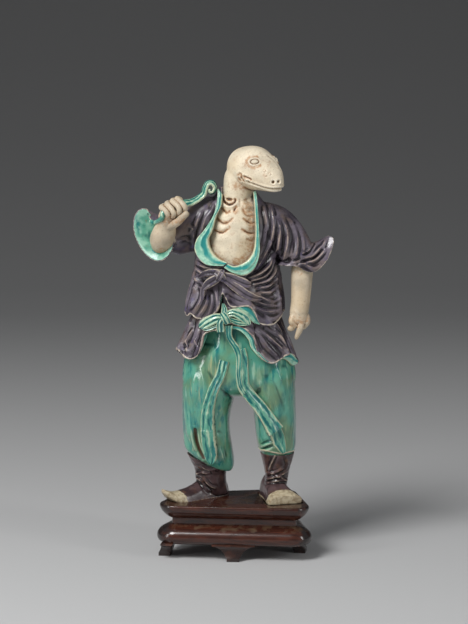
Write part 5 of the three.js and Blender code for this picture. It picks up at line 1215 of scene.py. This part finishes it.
BOOT_BACK = spread([(-26, 46), (-16, 44), (-8, 47)], [(-26, 54), (-16, 51), (-8, 55)], 3, 0.7, 1.1) + spread(
    [(20, 48), (28, 46), (36, 49)], [(20, 56), (28, 53), (36, 57)], 3, 0.7, 1.1)
left_boot = boot("left_boot", LEFT_FOOT, LEFT_SHAFT)
right_boot = boot("right_boot", RIGHT_FOOT, RIGHT_SHAFT)
for shoe in (left_boot, right_boot):
    carve(shoe, "front", BOOT_FOLDS)
    carve(shoe, "back", BOOT_BACK)
    points = places(shoe)
    points[:, 2] = np.maximum(points[:, 2], SOLE_LEVEL)
    set_places(shoe, points)
    measure_relief(shoe, 3, 20)
print("boots:", len(left_boot.data.vertices), "and", len(right_boot.data.vertices), "points")

# %% [markdown]
# ## The wooden stand
# The stand was turned by plane and gouge from one block of dark hardwood: a full round moulding below,
# a deep neck, and an ogee that opens to a flat top with shallow recesses for the soles. One profile is
# carried round the four-cornered plan, ring by ring, and four small bracket feet are cut by crossing
# their front outline with their side outline.

# %% The stand's mouldings
PLAN_RADIUS = 13
PLAN = [[-39.7, -12], [38, -20], [31, 17.5], [-30, 9.5]]
FOOT_HEIGHT = 9.8
STAND_PROFILE = [
    [FOOT_HEIGHT, 30], [FOOT_HEIGHT, 7], [9.9, 5.2], [10.5, 2.9], [11.8, 1], [14, 0.1],
    [16.4, 0.3], [18.8, 1.7], [20.8, 4.2], [21.9, 7.2], [22.4, 9.4], [22.7, 10.2], [23.2, 10.3],
    [26.1, 10.3], [26.6, 10.1], [27.0, 8.8],
    [27.6, 7.6], [28.8, 6], [30.8, 4], [32.8, 2.7], [34.6, 2], [35.6, 2.1], [36.2, 2.5], [36.5, 3.3],
    [36.5, 4.2], [36.5, 12],
]


def plan_ring(inset, z, count=360):
    """The four-cornered plan with round corners, drawn in by an inset."""
    corners = []
    for i, (x, y) in enumerate(PLAN):
        (px, py), (nx, ny) = PLAN[i - 1], PLAN[(i + 1) % 4]
        start = math.atan2(y - py, x - px) - math.pi / 2
        end = math.atan2(ny - y, nx - x) - math.pi / 2
        end += 2 * math.pi if end < start else 0
        for angle in np.linspace(start, end, 30):
            corners.append((x + PLAN_RADIUS * math.cos(angle), y + PLAN_RADIUS * math.sin(angle),
                            math.cos(angle), math.sin(angle)))
    p = np.array(corners + corners[:1])
    walk = np.r_[0, np.cumsum(np.linalg.norm(np.diff(p[:, :2], axis=0), axis=1))]
    at = np.linspace(0, walk[-1], count, endpoint=False)
    x, y, nx, ny = (np.interp(at, walk, p[:, k]) for k in range(4))
    inset = min(inset, PLAN_RADIUS + 6)
    return np.stack([x - nx * inset, y - ny * inset, np.full(count, z)], 1)


slab = skin("slab", [plan_ring(inset, z) for z, inset in through(STAND_PROFILE, 4)])
print("slab:", len(slab.data.vertices), "points")

# %% Recesses and bracket feet


def cut(obj, tool, how):
    alone()
    obj.select_set(True)
    bpy.context.view_layer.objects.active = obj
    change = obj.modifiers.new("cut", "BOOLEAN")
    change.object, change.operation, change.solver = tool, how, "EXACT"
    bpy.ops.object.modifier_apply(modifier=change.name)
    bpy.data.objects.remove(tool)
    return obj


def recess(shape, clearance=1.0):
    """A prism over the print that a sole leaves on the stand."""
    turn = math.radians(shape["turn"])
    ahead = np.array([math.cos(turn), math.sin(turn), 0])
    across = np.array([-math.sin(turn), math.cos(turn), 0])
    rows = [row for row in shape["rows"] if row[2] < 2.2]
    ends = [(-clearance - 0.4, rows[0][1]), *[(r[0], r[1]) for r in rows]]
    ends.append((rows[-1][0] + clearance + 0.8, rows[-1][1] * 0.82))
    base = np.array([*shape["heel"], 0])
    sides = [[base + ahead * d + across * s * (1.06 * w + clearance) for d, w in ends] for s in (1, -1)]
    outline = np.array(sides[0] + sides[1][::-1])
    return skin("recess", [outline + [0, 0, z] for z in (SOLE_LEVEL, STAND_HEIGHT + 10)])


def curve(a, b, c, count=10):
    t = np.linspace(0, 1, count)[:, None]
    return ((1 - t) ** 2 * np.array(a) + 2 * t * (1 - t) * np.array(b) + t**2 * np.array(c)).tolist()


def bracket_foot(x, y, turn):
    top = FOOT_HEIGHT
    front = [[-14.5, top + 1.2], *curve([-14.5, top - 0.2], [-7.5, top - 1], [-5.2, 3.4]), [-4.2, 2.2],
             [-4.2, 0], [4.2, 0], [4.2, 2.2], *curve([5.2, 3.4], [7.5, top - 1], [14.5, top - 0.2]),
             [14.5, top + 1.2]]
    side = [*curve([1.4, top + 1.2], [0, 5], [-2.2, 2.2]), [-2.2, 0], [5.5, 0],
            *curve([5.5, 0.01], [6.5, 6], [9.5, top + 1.2])]
    wide = skin("bracket_foot", [[(u, d, h) for u, h in front] for d in (-15, 15)])
    deep = skin("side_cut", [[(d, u, h) for u, h in side] for d in (-20, 20)])
    cut(wide, deep, "INTERSECT")
    soft = wide.modifiers.new("soft", "BEVEL")
    soft.width, soft.segments, soft.limit_method = 0.35, 2, "ANGLE"
    bpy.ops.object.modifier_apply(modifier=soft.name)
    wide.data.transform(Matrix.Translation((x, y, 0)) @ Matrix.Rotation(math.radians(turn), 4, "Z"))
    return wide


for shape in (LEFT_FOOT, RIGHT_FOOT):
    cut(slab, recess(shape), "DIFFERENCE")
FEET = [[-1.6, -27.6, -3], [-48.8, -9, -100], [45.5, -2.5, 80], [0.5, 22.6, 187]]
stand = joined("stand", [slab, *[bracket_foot(*place) for place in FEET]])
measure_relief(stand, 2, 20)
up = np.clip(facing(stand)[:, 2], 0, 1)
p = places(stand)
shelf = 0.55 * up * np.exp(-(((p[:, 2] - 21.5) / 3.2) ** 2)) + 0.35 * up * (p[:, 2] > 36)
mark(stand, "dust", np.clip(shelf + 0.5 * read_mark(stand, "hollow"), 0, 1))
# The stand is painted near-black toward its left and right ends and on its feet: painted shade where it turns
# from the lights and lies under the moulding, over the wood's own dark tone.
corner = np.clip((np.abs(p[:, 0]) - 37) / 14, 0, 1)
mark(stand, "corner", np.maximum(corner, np.clip((10.4 - p[:, 2]) / 1.5, 0, 1) * (p[:, 2] < 12)))
print("stand:", len(stand.data.vertices), "points")

# %% [markdown]
# ## Glazes, biscuit and wood
# Every finish is built from noise in the object's own coordinates and the marks kept on the surface.
# A pattern's size is given in millimetres. Glaze is thin and pale on ridges and edges, and pools dark
# in hollows; the pale ridges are partly a painted highlight and the dark hollows partly painted shade.
# Bare clay takes brown stains in its creases, with painted shade there too, and is pitted with small dark
# pores.

# %% Tools for finishes


class Finish:
    """A material with its nodes: small helpers for patterns, marks and blends."""

    def __init__(self, name, roughness, coat=0.0, specular=0.5):
        self.material = bpy.data.materials.new(name)
        self.material.use_nodes = True
        self.tree = self.material.node_tree
        self.shader = self.tree.nodes["Principled BSDF"]
        self.shader.inputs["Roughness"].default_value = roughness
        self.shader.inputs["Coat Weight"].default_value = coat
        self.shader.inputs["Coat Roughness"].default_value = 0.12
        self.shader.inputs["Specular IOR Level"].default_value = specular
        self.place = self.tree.nodes.new("ShaderNodeTexCoord").outputs["Object"]

    def put(self, socket, value):
        if isinstance(value, bpy.types.NodeSocket):
            self.tree.links.new(value, socket)
        elif isinstance(value, tuple) and len(value) == 3:
            socket.default_value = (*value, 1) if socket.type == "RGBA" else value
        else:
            socket.default_value = value

    def pattern(self, size, detail=3.0, stretch=(1, 1, 1), shift=0.0, rough=0.5):
        """Cloudy noise; stretch makes it longer along an axis."""
        turn = self.tree.nodes.new("ShaderNodeMapping")
        self.put(turn.inputs["Vector"], self.place)
        turn.inputs["Scale"].default_value = [1 / (size * MM * s) for s in stretch]
        turn.inputs["Location"].default_value = (shift, shift * 0.7, shift * 1.3)
        noise = self.tree.nodes.new("ShaderNodeTexNoise")
        self.put(noise.inputs["Vector"], turn.outputs["Vector"])
        noise.inputs["Scale"].default_value = 1
        noise.inputs["Detail"].default_value = detail
        noise.inputs["Roughness"].default_value = rough
        return noise.outputs["Fac"]

    def pores(self, size, radius):
        """Small round pits, 1 in the pit."""
        cells = self.tree.nodes.new("ShaderNodeTexVoronoi")
        turn = self.tree.nodes.new("ShaderNodeMapping")
        self.put(turn.inputs["Vector"], self.place)
        turn.inputs["Scale"].default_value = [1 / (size * MM)] * 3
        self.put(cells.inputs["Vector"], turn.outputs["Vector"])
        cells.inputs["Scale"].default_value = 1
        return self.ease(cells.outputs["Distance"], radius, radius * 0.5)

    def kept(self, name):
        node = self.tree.nodes.new("ShaderNodeAttribute")
        node.attribute_name = name
        return node.outputs["Fac"]

    def ease(self, value, low, high, bottom=0.0, top=1.0):
        node = self.tree.nodes.new("ShaderNodeMapRange")
        node.interpolation_type = "SMOOTHSTEP"
        self.put(node.inputs["Value"], value)
        for name, number in (("From Min", low), ("From Max", high), ("To Min", bottom), ("To Max", top)):
            node.inputs[name].default_value = number
        return node.outputs["Result"]

    def sum(self, a, b, how="ADD", clamp=False):
        node = self.tree.nodes.new("ShaderNodeMath")
        node.operation, node.use_clamp = how, clamp
        self.put(node.inputs[0], a)
        self.put(node.inputs[1], b)
        return node.outputs[0]

    def blend(self, share, a, b, how="MIX"):
        node = self.tree.nodes.new("ShaderNodeMix")
        node.data_type, node.blend_type = "RGBA", how
        self.put(node.inputs["Factor"], share)
        self.put(node.inputs[6], a)
        self.put(node.inputs[7], b)
        return node.outputs[2]

    def bumped(self, height, depth, strength=1.0):
        node = self.tree.nodes.new("ShaderNodeBump")
        node.inputs["Strength"].default_value = strength
        node.inputs["Distance"].default_value = depth * MM
        self.put(node.inputs["Height"], height)
        self.put(self.shader.inputs["Normal"], node.outputs["Normal"])

    def done(self, colour, roughness=None):
        self.put(self.shader.inputs["Base Color"], colour)
        if roughness is not None:
            self.put(self.shader.inputs["Roughness"], roughness)
        return self.material


CREAM = (0.62, 0.53, 0.38)
PALE_TURQUOISE = (0.36, 0.62, 0.47)
TURQUOISE = (0.07, 0.30, 0.225)
DEEP_TURQUOISE = (0.004, 0.13, 0.125)


def turquoise_over(f, pale_share, seed=0.0):
    """Turquoise glaze: green ground, deep blue-green runs and pale thin places, in upright streaks."""
    runs = f.pattern(5, 5, (1, 1, 3.6), seed)
    clouds = f.pattern(15, 3, (1, 1, 1.8), seed + 5)
    colour = f.blend(f.ease(clouds, 0.36, 0.64), TURQUOISE, (0.12, 0.37, 0.26))
    colour = f.blend(f.ease(runs, 0.5, 0.66), colour, (0.012, 0.19, 0.18))
    pale = f.ease(f.pattern(3.6, 5, (1, 1, 5), seed + 9), 0.56, 0.74, 0, pale_share)
    return f.blend(pale, colour, PALE_TURQUOISE)


def aubergine():
    f = Finish("aubergine_glaze", 0.3)
    cloud, fine = f.pattern(13, 5), f.pattern(2.0, 4, shift=3)
    colour = f.blend(f.ease(cloud, 0.36, 0.62), (0.06, 0.048, 0.066), (0.16, 0.135, 0.165))
    colour = f.blend(f.ease(f.pattern(9, 4, shift=8), 0.48, 0.7, 0, 0.75), colour, (0.19, 0.14, 0.115))
    colour = f.blend(f.ease(f.pattern(8, 3, shift=12), 0.6, 0.72, 0, 0.5), colour, (0.07, 0.055, 0.17))
    colour = f.blend(f.ease(fine, 0.5, 0.8, 0, 0.35), colour, (0.035, 0.028, 0.04))
    # Painted shade: the hollows go near-black, partly glaze pooled there.
    colour = f.blend(f.ease(f.kept("hollow"), 0.06, 0.6, 0, 0.93), colour, (0.012, 0.009, 0.013))
    # Ridges turn pale: thin glaze, partly a painted highlight.
    proud = f.sum(f.kept("ridge"), f.ease(f.pattern(5, 4, shift=20), 0.3, 0.7, -0.4, 0.15))
    colour = f.blend(f.ease(proud, 0.25, 1.0, 0, 0.75), colour, (0.46, 0.36, 0.3))
    rim = f.sum(f.kept("edge"), f.ease(fine, 0.3, 0.7, -0.3, 0.15))
    colour = f.blend(f.ease(rim, 0.45, 0.85, 0, 0.85), colour, (0.58, 0.5, 0.4))
    colour = f.blend(f.pores(3.0, 0.12), colour, (0.015, 0.01, 0.01))
    lining = turquoise_over(f, 0.9, 2)
    # The lining is painted pale near the lip and dark deep inside the sleeve: painted light and painted
    # shade.
    depth = f.sum(f.kept("deep"), f.ease(f.pattern(5, 4, shift=15), 0.3, 0.7, -0.25, 0.25))
    lining = f.blend(f.ease(depth, 0.02, 0.4), f.blend(0.6, lining, PALE_TURQUOISE), lining)
    lining = f.blend(f.ease(depth, 0.35, 0.85, 0, 0.85), lining, (0.004, 0.1, 0.085))
    lining = f.blend(f.ease(f.pattern(3, 4, shift=17), 0.6, 0.75, 0, 0.6), lining, (0.16, 0.15, 0.07))
    # The lining's ridges are painted cream and its hollows dark: thin and pooled glaze, partly painted
    # highlight and painted shade.
    lining = f.blend(f.ease(f.kept("ridge"), 0.3, 0.9, 0, 0.7), lining, CREAM)
    lining = f.blend(f.ease(f.kept("hollow"), 0.2, 0.9, 0, 0.8), lining, (0.006, 0.05, 0.045))
    under = f.sum(f.kept("lined"), f.ease(fine, 0.3, 0.7, -0.04, 0.04))
    colour = f.blend(f.ease(under, 0.42, 0.58), colour, lining)
    f.bumped(f.pattern(1.4, 3), 0.12, 0.5)
    return f.done(colour, f.ease(f.pattern(6, 3, shift=4), 0.3, 0.7, 0.2, 0.4))


def trouser_glaze():
    f = Finish("turquoise_glaze", 0.12, coat=0.5)
    colour = turquoise_over(f, 0.8)
    olive = f.ease(f.pattern(20, 3, shift=6), 0.48, 0.66, 0, 0.6)
    colour = f.blend(olive, colour, (0.17, 0.23, 0.1))
    gold = f.ease(f.pattern(2.6, 4, (1, 1, 7), shift=31), 0.6, 0.75, 0, 0.5)
    colour = f.blend(gold, colour, (0.5, 0.47, 0.22))
    # Hollows painted dark, partly pooled glaze and partly painted shade; ridges pale, partly thin glaze and
    # partly a painted highlight.
    colour = f.blend(f.ease(f.kept("hollow"), 0.06, 0.7, 0, 0.9), colour, (0.008, 0.06, 0.045))
    colour = f.blend(f.ease(f.kept("ridge"), 0.3, 0.9, 0, 0.5), colour, (0.45, 0.6, 0.42))
    # The knee slit is painted brown: its own brown, with painted shade in it.
    colour = f.blend(f.ease(f.kept("stain_and_shade"), 0.3, 0.9, 0, 0.9), colour, (0.07, 0.03, 0.012))
    rim = f.sum(f.kept("edge"), f.ease(f.pattern(2.2, 3), 0.3, 0.7, -0.2, 0.2))
    colour = f.blend(f.ease(rim, 0.3, 0.8, 0, 0.9), colour, CREAM)
    specks = f.sum(f.pores(4.2, 0.1), f.ease(f.pattern(9, 2, shift=21), 0.45, 0.6), "MULTIPLY")
    colour = f.blend(specks, colour, (0.06, 0.035, 0.02))
    f.bumped(f.pattern(2.6, 2), 0.1, 0.35)
    return f.done(colour, f.ease(f.pattern(7, 3, shift=4), 0.3, 0.7, 0.08, 0.2))


def striped_glaze():
    f = Finish("striped_turquoise", 0.16, coat=0.3)
    across = f.kept("across")
    wave = f.tree.nodes.new("ShaderNodeMath")
    wave.operation = "COSINE"
    wobble = f.ease(f.pattern(6, 4, (1, 1, 2.4)), 0.3, 0.7, -1.6, 1.6)
    f.put(wave.inputs[0], f.sum(f.sum(across, 7.3, "MULTIPLY"), wobble))
    rib = f.sum(wave.outputs[0], f.ease(f.pattern(3, 4, (1, 1, 3), 5), 0.3, 0.7, -0.6, 0.6))
    ground = turquoise_over(f, 0.7, 14)
    colour = f.blend(f.ease(rib, -1.0, -0.2), DEEP_TURQUOISE, ground)
    light = f.sum(rib, f.sum(f.kept("cream"), 1.1, "MULTIPLY"))
    colour = f.blend(f.ease(light, 0.7, 1.5, 0, 0.85), colour, (0.5, 0.66, 0.47))
    side = f.sum(f.sum(across, across, "MULTIPLY"), f.ease(f.pattern(3, 3), 0.3, 0.7, -0.12, 0.1))
    colour = f.blend(f.ease(side, 0.62, 0.82, 0, 0.9), colour, (0.6, 0.64, 0.44))
    # The ribbons' side walls are painted dark, as painted shade where the ribbon stands off the cloth. The
    # hollows are painted dark too, partly pooled glaze and partly painted shade.
    colour = f.blend(f.ease(side, 1.0, 1.06, 0, 0.9), colour, (0.012, 0.07, 0.06))
    colour = f.blend(f.ease(f.kept("hollow"), 0.3, 1, 0, 0.7), colour, (0.005, 0.06, 0.065))
    f.bumped(f.pattern(1.5, 2), 0.08, 0.4)
    return f.done(colour)


def collar_glaze():
    f = Finish("pale_turquoise", 0.2, coat=0.3)
    across = f.kept("across")
    groove = f.sum(f.sum(across, 0.3, "ADD"), 1.7, "MULTIPLY")
    groove = f.sum(groove, groove, "MULTIPLY")
    groove = f.sum(groove, f.ease(f.pattern(5, 4, (1, 1, 2)), 0.3, 0.7, -0.3, 0.3))
    ground = f.blend(f.ease(f.pattern(4, 4, shift=5), 0.35, 0.65), (0.2, 0.48, 0.36), (0.42, 0.68, 0.52))
    colour = f.blend(f.ease(groove, 0.05, 0.6), (0.03, 0.28, 0.26), ground)
    side = f.sum(f.sum(across, across, "MULTIPLY"), f.ease(f.pattern(3, 3), 0.3, 0.7, -0.12, 0.12))
    colour = f.blend(f.ease(side, 0.6, 0.9), colour, (0.66, 0.66, 0.46))
    # Hollows painted dark: partly pooled glaze, partly painted shade.
    colour = f.blend(f.ease(f.kept("hollow"), 0.3, 1, 0, 0.6), colour, (0.012, 0.14, 0.13))
    return f.done(colour)


def biscuit(name, ground, patches, greyed):
    f = Finish(name, 0.5, specular=0.4)
    cloud, fine = f.pattern(11, 5), f.pattern(1.2, 4, shift=3)
    colour = f.blend(f.ease(cloud, 0.35, 0.65), ground, tuple(c * greyed for c in ground))
    colour = f.blend(f.ease(f.pattern(20, 3, shift=17), 0.45, 0.65, 0, 0.4), colour, (0.66, 0.5, 0.3))
    colour = f.blend(f.ease(fine, 0.5, 0.78, 0, 0.4), colour, (0.4, 0.29, 0.18))
    patch = f.sum(f.ease(f.pattern(5, 5, shift=7, rough=0.65), 0.52, 0.72),
                  f.ease(f.pattern(1.6, 4, shift=27), 0.4, 0.62), "MULTIPLY")
    colour = f.blend(f.sum(patch, patches, "MULTIPLY"), colour, (0.38, 0.17, 0.06))
    # Stains, with painted shade in the creases and under the head, from the stain mark.
    stain_and_shade = f.sum(f.kept("stain_and_shade"), f.ease(f.pattern(2.2, 5, shift=13, rough=0.65), 0.3, 0.7, -0.4, 0.3))
    colour = f.blend(f.ease(stain_and_shade, 0.1, 0.9, 0, 0.8), colour, (0.42, 0.2, 0.08))
    # The hollows are painted brown, then near-black in the deepest: stain in the creases, with painted shade
    # over it.
    hollow = f.sum(f.kept("hollow"), f.ease(fine, 0.3, 0.7, -0.12, 0.12))
    colour = f.blend(f.ease(hollow, 0.12, 0.8, 0, 0.75), colour, (0.26, 0.12, 0.045))
    colour = f.blend(f.ease(hollow, 0.75, 1.1), colour, (0.02, 0.009, 0.005))
    # Ridges are painted pale: a painted highlight.
    colour = f.blend(f.ease(f.kept("ridge"), 0.3, 0.9, 0, 0.6), colour, (0.86, 0.79, 0.64))
    pits = f.sum(f.pores(1.8, 0.13), f.ease(f.pattern(6, 3, shift=11), 0.5, 0.6), "MULTIPLY")
    colour = f.blend(pits, colour, (0.06, 0.028, 0.015))
    f.bumped(f.sum(f.pattern(0.8, 3), f.sum(pits, -1.5, "MULTIPLY")), 0.1, 0.6)
    return f.done(colour, f.ease(f.pattern(5, 3, shift=4), 0.3, 0.7, 0.36, 0.58))


def boot_glaze():
    f = Finish("brown_boot_glaze", 0.26, coat=0.2)
    fine = f.pattern(2.0, 4, shift=3)
    colour = f.blend(f.ease(f.pattern(8, 5), 0.36, 0.64), (0.045, 0.026, 0.028), (0.11, 0.068, 0.07))
    colour = f.blend(f.ease(f.pattern(6, 4, shift=9), 0.5, 0.7, 0, 0.7), colour, (0.14, 0.07, 0.045))
    # Hollows painted near-black, partly pooled glaze and partly painted shade; ridges pale, partly thin glaze
    # and partly a painted highlight.
    colour = f.blend(f.ease(f.kept("hollow"), 0.06, 0.6, 0, 0.9), colour, (0.01, 0.006, 0.006))
    proud = f.sum(f.kept("ridge"), f.ease(f.pattern(4, 4, shift=13), 0.3, 0.7, -0.35, 0.2))
    colour = f.blend(f.ease(proud, 0.2, 1.0, 0, 0.75), colour, (0.42, 0.33, 0.25))
    sole = f.blend(f.ease(fine, 0.4, 0.7), (0.56, 0.48, 0.33), (0.33, 0.25, 0.15))
    sole = f.blend(f.ease(f.pattern(4, 4, shift=23), 0.5, 0.7, 0, 0.6), sole, (0.2, 0.14, 0.085))
    sole = f.blend(f.pores(2.2, 0.16), sole, (0.05, 0.025, 0.015))
    share = f.sum(f.kept("sole"), f.ease(fine, 0.3, 0.7, -0.2, 0.2))
    colour = f.blend(f.ease(share, 0.36, 0.64), colour, sole)
    f.bumped(f.pattern(1.3, 3), 0.14, 0.55)
    return f.done(colour, f.ease(share, 0.4, 0.6, 0.24, 0.5))


def dark_wood():
    f = Finish("dark_hardwood", 0.26, coat=0.3)
    grain = f.pattern(1.3, 5, (16, 1, 1.2))
    streak = f.pattern(5, 4, (7, 1, 1.1), 9)
    colour = f.blend(f.ease(grain, 0.3, 0.75), (0.036, 0.011, 0.007), (0.085, 0.024, 0.013))
    colour = f.blend(f.ease(streak, 0.42, 0.66, 0, 0.6), colour, (0.022, 0.009, 0.007))
    # Ridges painted lighter: a painted highlight on the edges.
    colour = f.blend(f.ease(f.kept("ridge"), 0.3, 1.0, 0, 0.4), colour, (0.16, 0.06, 0.035))
    dust = f.sum(f.kept("dust"), f.ease(f.pattern(6, 5), 0.3, 0.7, -0.4, 0.3))
    colour = f.blend(f.ease(dust, 0.35, 0.95, 0, 0.55), colour, (0.13, 0.09, 0.045))
    # The ends and the feet are painted near-black from the corner mark: painted shade, over the wood's own
    # dark tone.
    dark = f.sum(f.kept("corner"), f.ease(f.pattern(7, 4, shift=8), 0.3, 0.7, -0.3, 0.3))
    colour = f.blend(f.ease(dark, 0.3, 0.9, 0, 0.85), colour, (0.014, 0.012, 0.012))
    # Hollows painted near-black: painted shade.
    colour = f.blend(f.ease(f.kept("hollow"), 0.3, 1.0, 0, 0.8), colour, (0.006, 0.003, 0.002))
    f.bumped(grain, 0.08, 0.4)
    return f.done(colour, f.ease(dust, 0.3, 0.9, 0.2, 0.55))


# %% Glaze and place every piece
finished(flesh, biscuit("biscuit", (0.8, 0.7, 0.53), 0.55, 0.84), faces=150000)
arm_biscuit = biscuit("hand_biscuit", (0.62, 0.52, 0.38), 0.5, 0.72)
finished(raised_arm, arm_biscuit, faces=60000)
finished(lowered_arm, arm_biscuit, faces=60000)
robe_glaze = aubergine()
finished(robe, robe_glaze, faces=190000)
finished(under_robe, robe_glaze, faces=130000)
finished(robe_tie, robe_glaze, faces=36000)
stripes = striped_glaze()
finished(ribbons, stripes)
finished(strap, stripes)
pale_glaze = collar_glaze()
finished(collar_bands, pale_glaze)
finished(linings, pale_glaze)
finished(trousers, trouser_glaze(), faces=110000)
boots_finish = boot_glaze()
finished(left_boot, boots_finish, faces=60000)
finished(right_boot, boots_finish, faces=60000)
finished(stand, dark_wood(), "wooden_stand", faces=110000)

# %% [markdown]
# ## Floor, light and camera
# The photograph shows the figure on a plain ground that rises smoothly behind it and darkens upward.
# A large soft light stands at the upper left. A narrow upright one on each side, weaker, draws the
# long highlights on the glaze. The camera stands a metre and a half away, a little above the figure,
# and looks eight and a half degrees down.

# %% The floor that rises behind
BACK_DISTANCE, BEND = 1.1, 0.9
alone()
bpy.ops.mesh.primitive_grid_add(x_subdivisions=2, y_subdivisions=48, size=1)
floor = bpy.context.object
floor.name = "floor"
for corner in floor.data.vertices:
    walk = (corner.co.y + 0.5) * 7 - 3
    corner.co.x *= 9
    turn = min(max(walk - BACK_DISTANCE, 0) / BEND, math.pi / 2)
    rest = max(walk - BACK_DISTANCE - BEND * math.pi / 2, 0)
    corner.co.y = min(walk, BACK_DISTANCE) + BEND * math.sin(turn)
    corner.co.z = BEND * (1 - math.cos(turn)) + rest
bpy.ops.object.shade_smooth()
paper = Finish("pale_ground", 0.8)
split = paper.tree.nodes.new("ShaderNodeSeparateXYZ")
paper.put(split.inputs[0], paper.place)
# The ground is painted from pale at the front to dark at the back and up the rise: painted shade for the
# light falling off.
distance = paper.ease(split.outputs["Y"], -0.5, 2.2)
ground = paper.done(paper.blend(distance, (0.58, 0.58, 0.58), (0.1, 0.1, 0.1)))
floor.data.materials.append(ground)

# %% Soft lights


def soft_light(name, place, target, wide, high, power):
    alone()
    bpy.ops.object.light_add(type="AREA", location=place)
    lamp = bpy.context.object
    lamp.name = name
    lamp.data.shape, lamp.data.size, lamp.data.size_y = "RECTANGLE", wide, high
    lamp.data.energy = power
    lamp.rotation_euler = (Vector(target) - Vector(place)).to_track_quat("-Z", "Y").to_euler()
    return lamp


soft_light("key_light", (-0.62, -0.8, 1.3), (0, 0, 0.15), 0.5, 0.6, 19)
soft_light("left_light", (-1.1, -0.7, 0.5), (0, 0, 0.12), 0.22, 0.9, 4.5)
soft_light("right_light", (1.1, -0.6, 0.5), (0, 0, 0.12), 0.16, 0.8, 3.2)
world = bpy.data.worlds.new("studio")
bpy.context.scene.world = world
world.use_nodes = True
world.node_tree.nodes["Background"].inputs["Color"].default_value = (0.8, 0.82, 0.85, 1)
world.node_tree.nodes["Background"].inputs["Strength"].default_value = 0.2
bpy.context.scene.view_settings.view_transform = "Standard"

# %% Camera
alone()
bpy.ops.object.camera_add(location=(0.0003, -1.4823, 0.3853), rotation=(math.radians(81.5), 0, 0))
camera = bpy.context.object
camera.data.sensor_width = 36
camera.data.lens = 129.8
bpy.context.scene.camera = camera
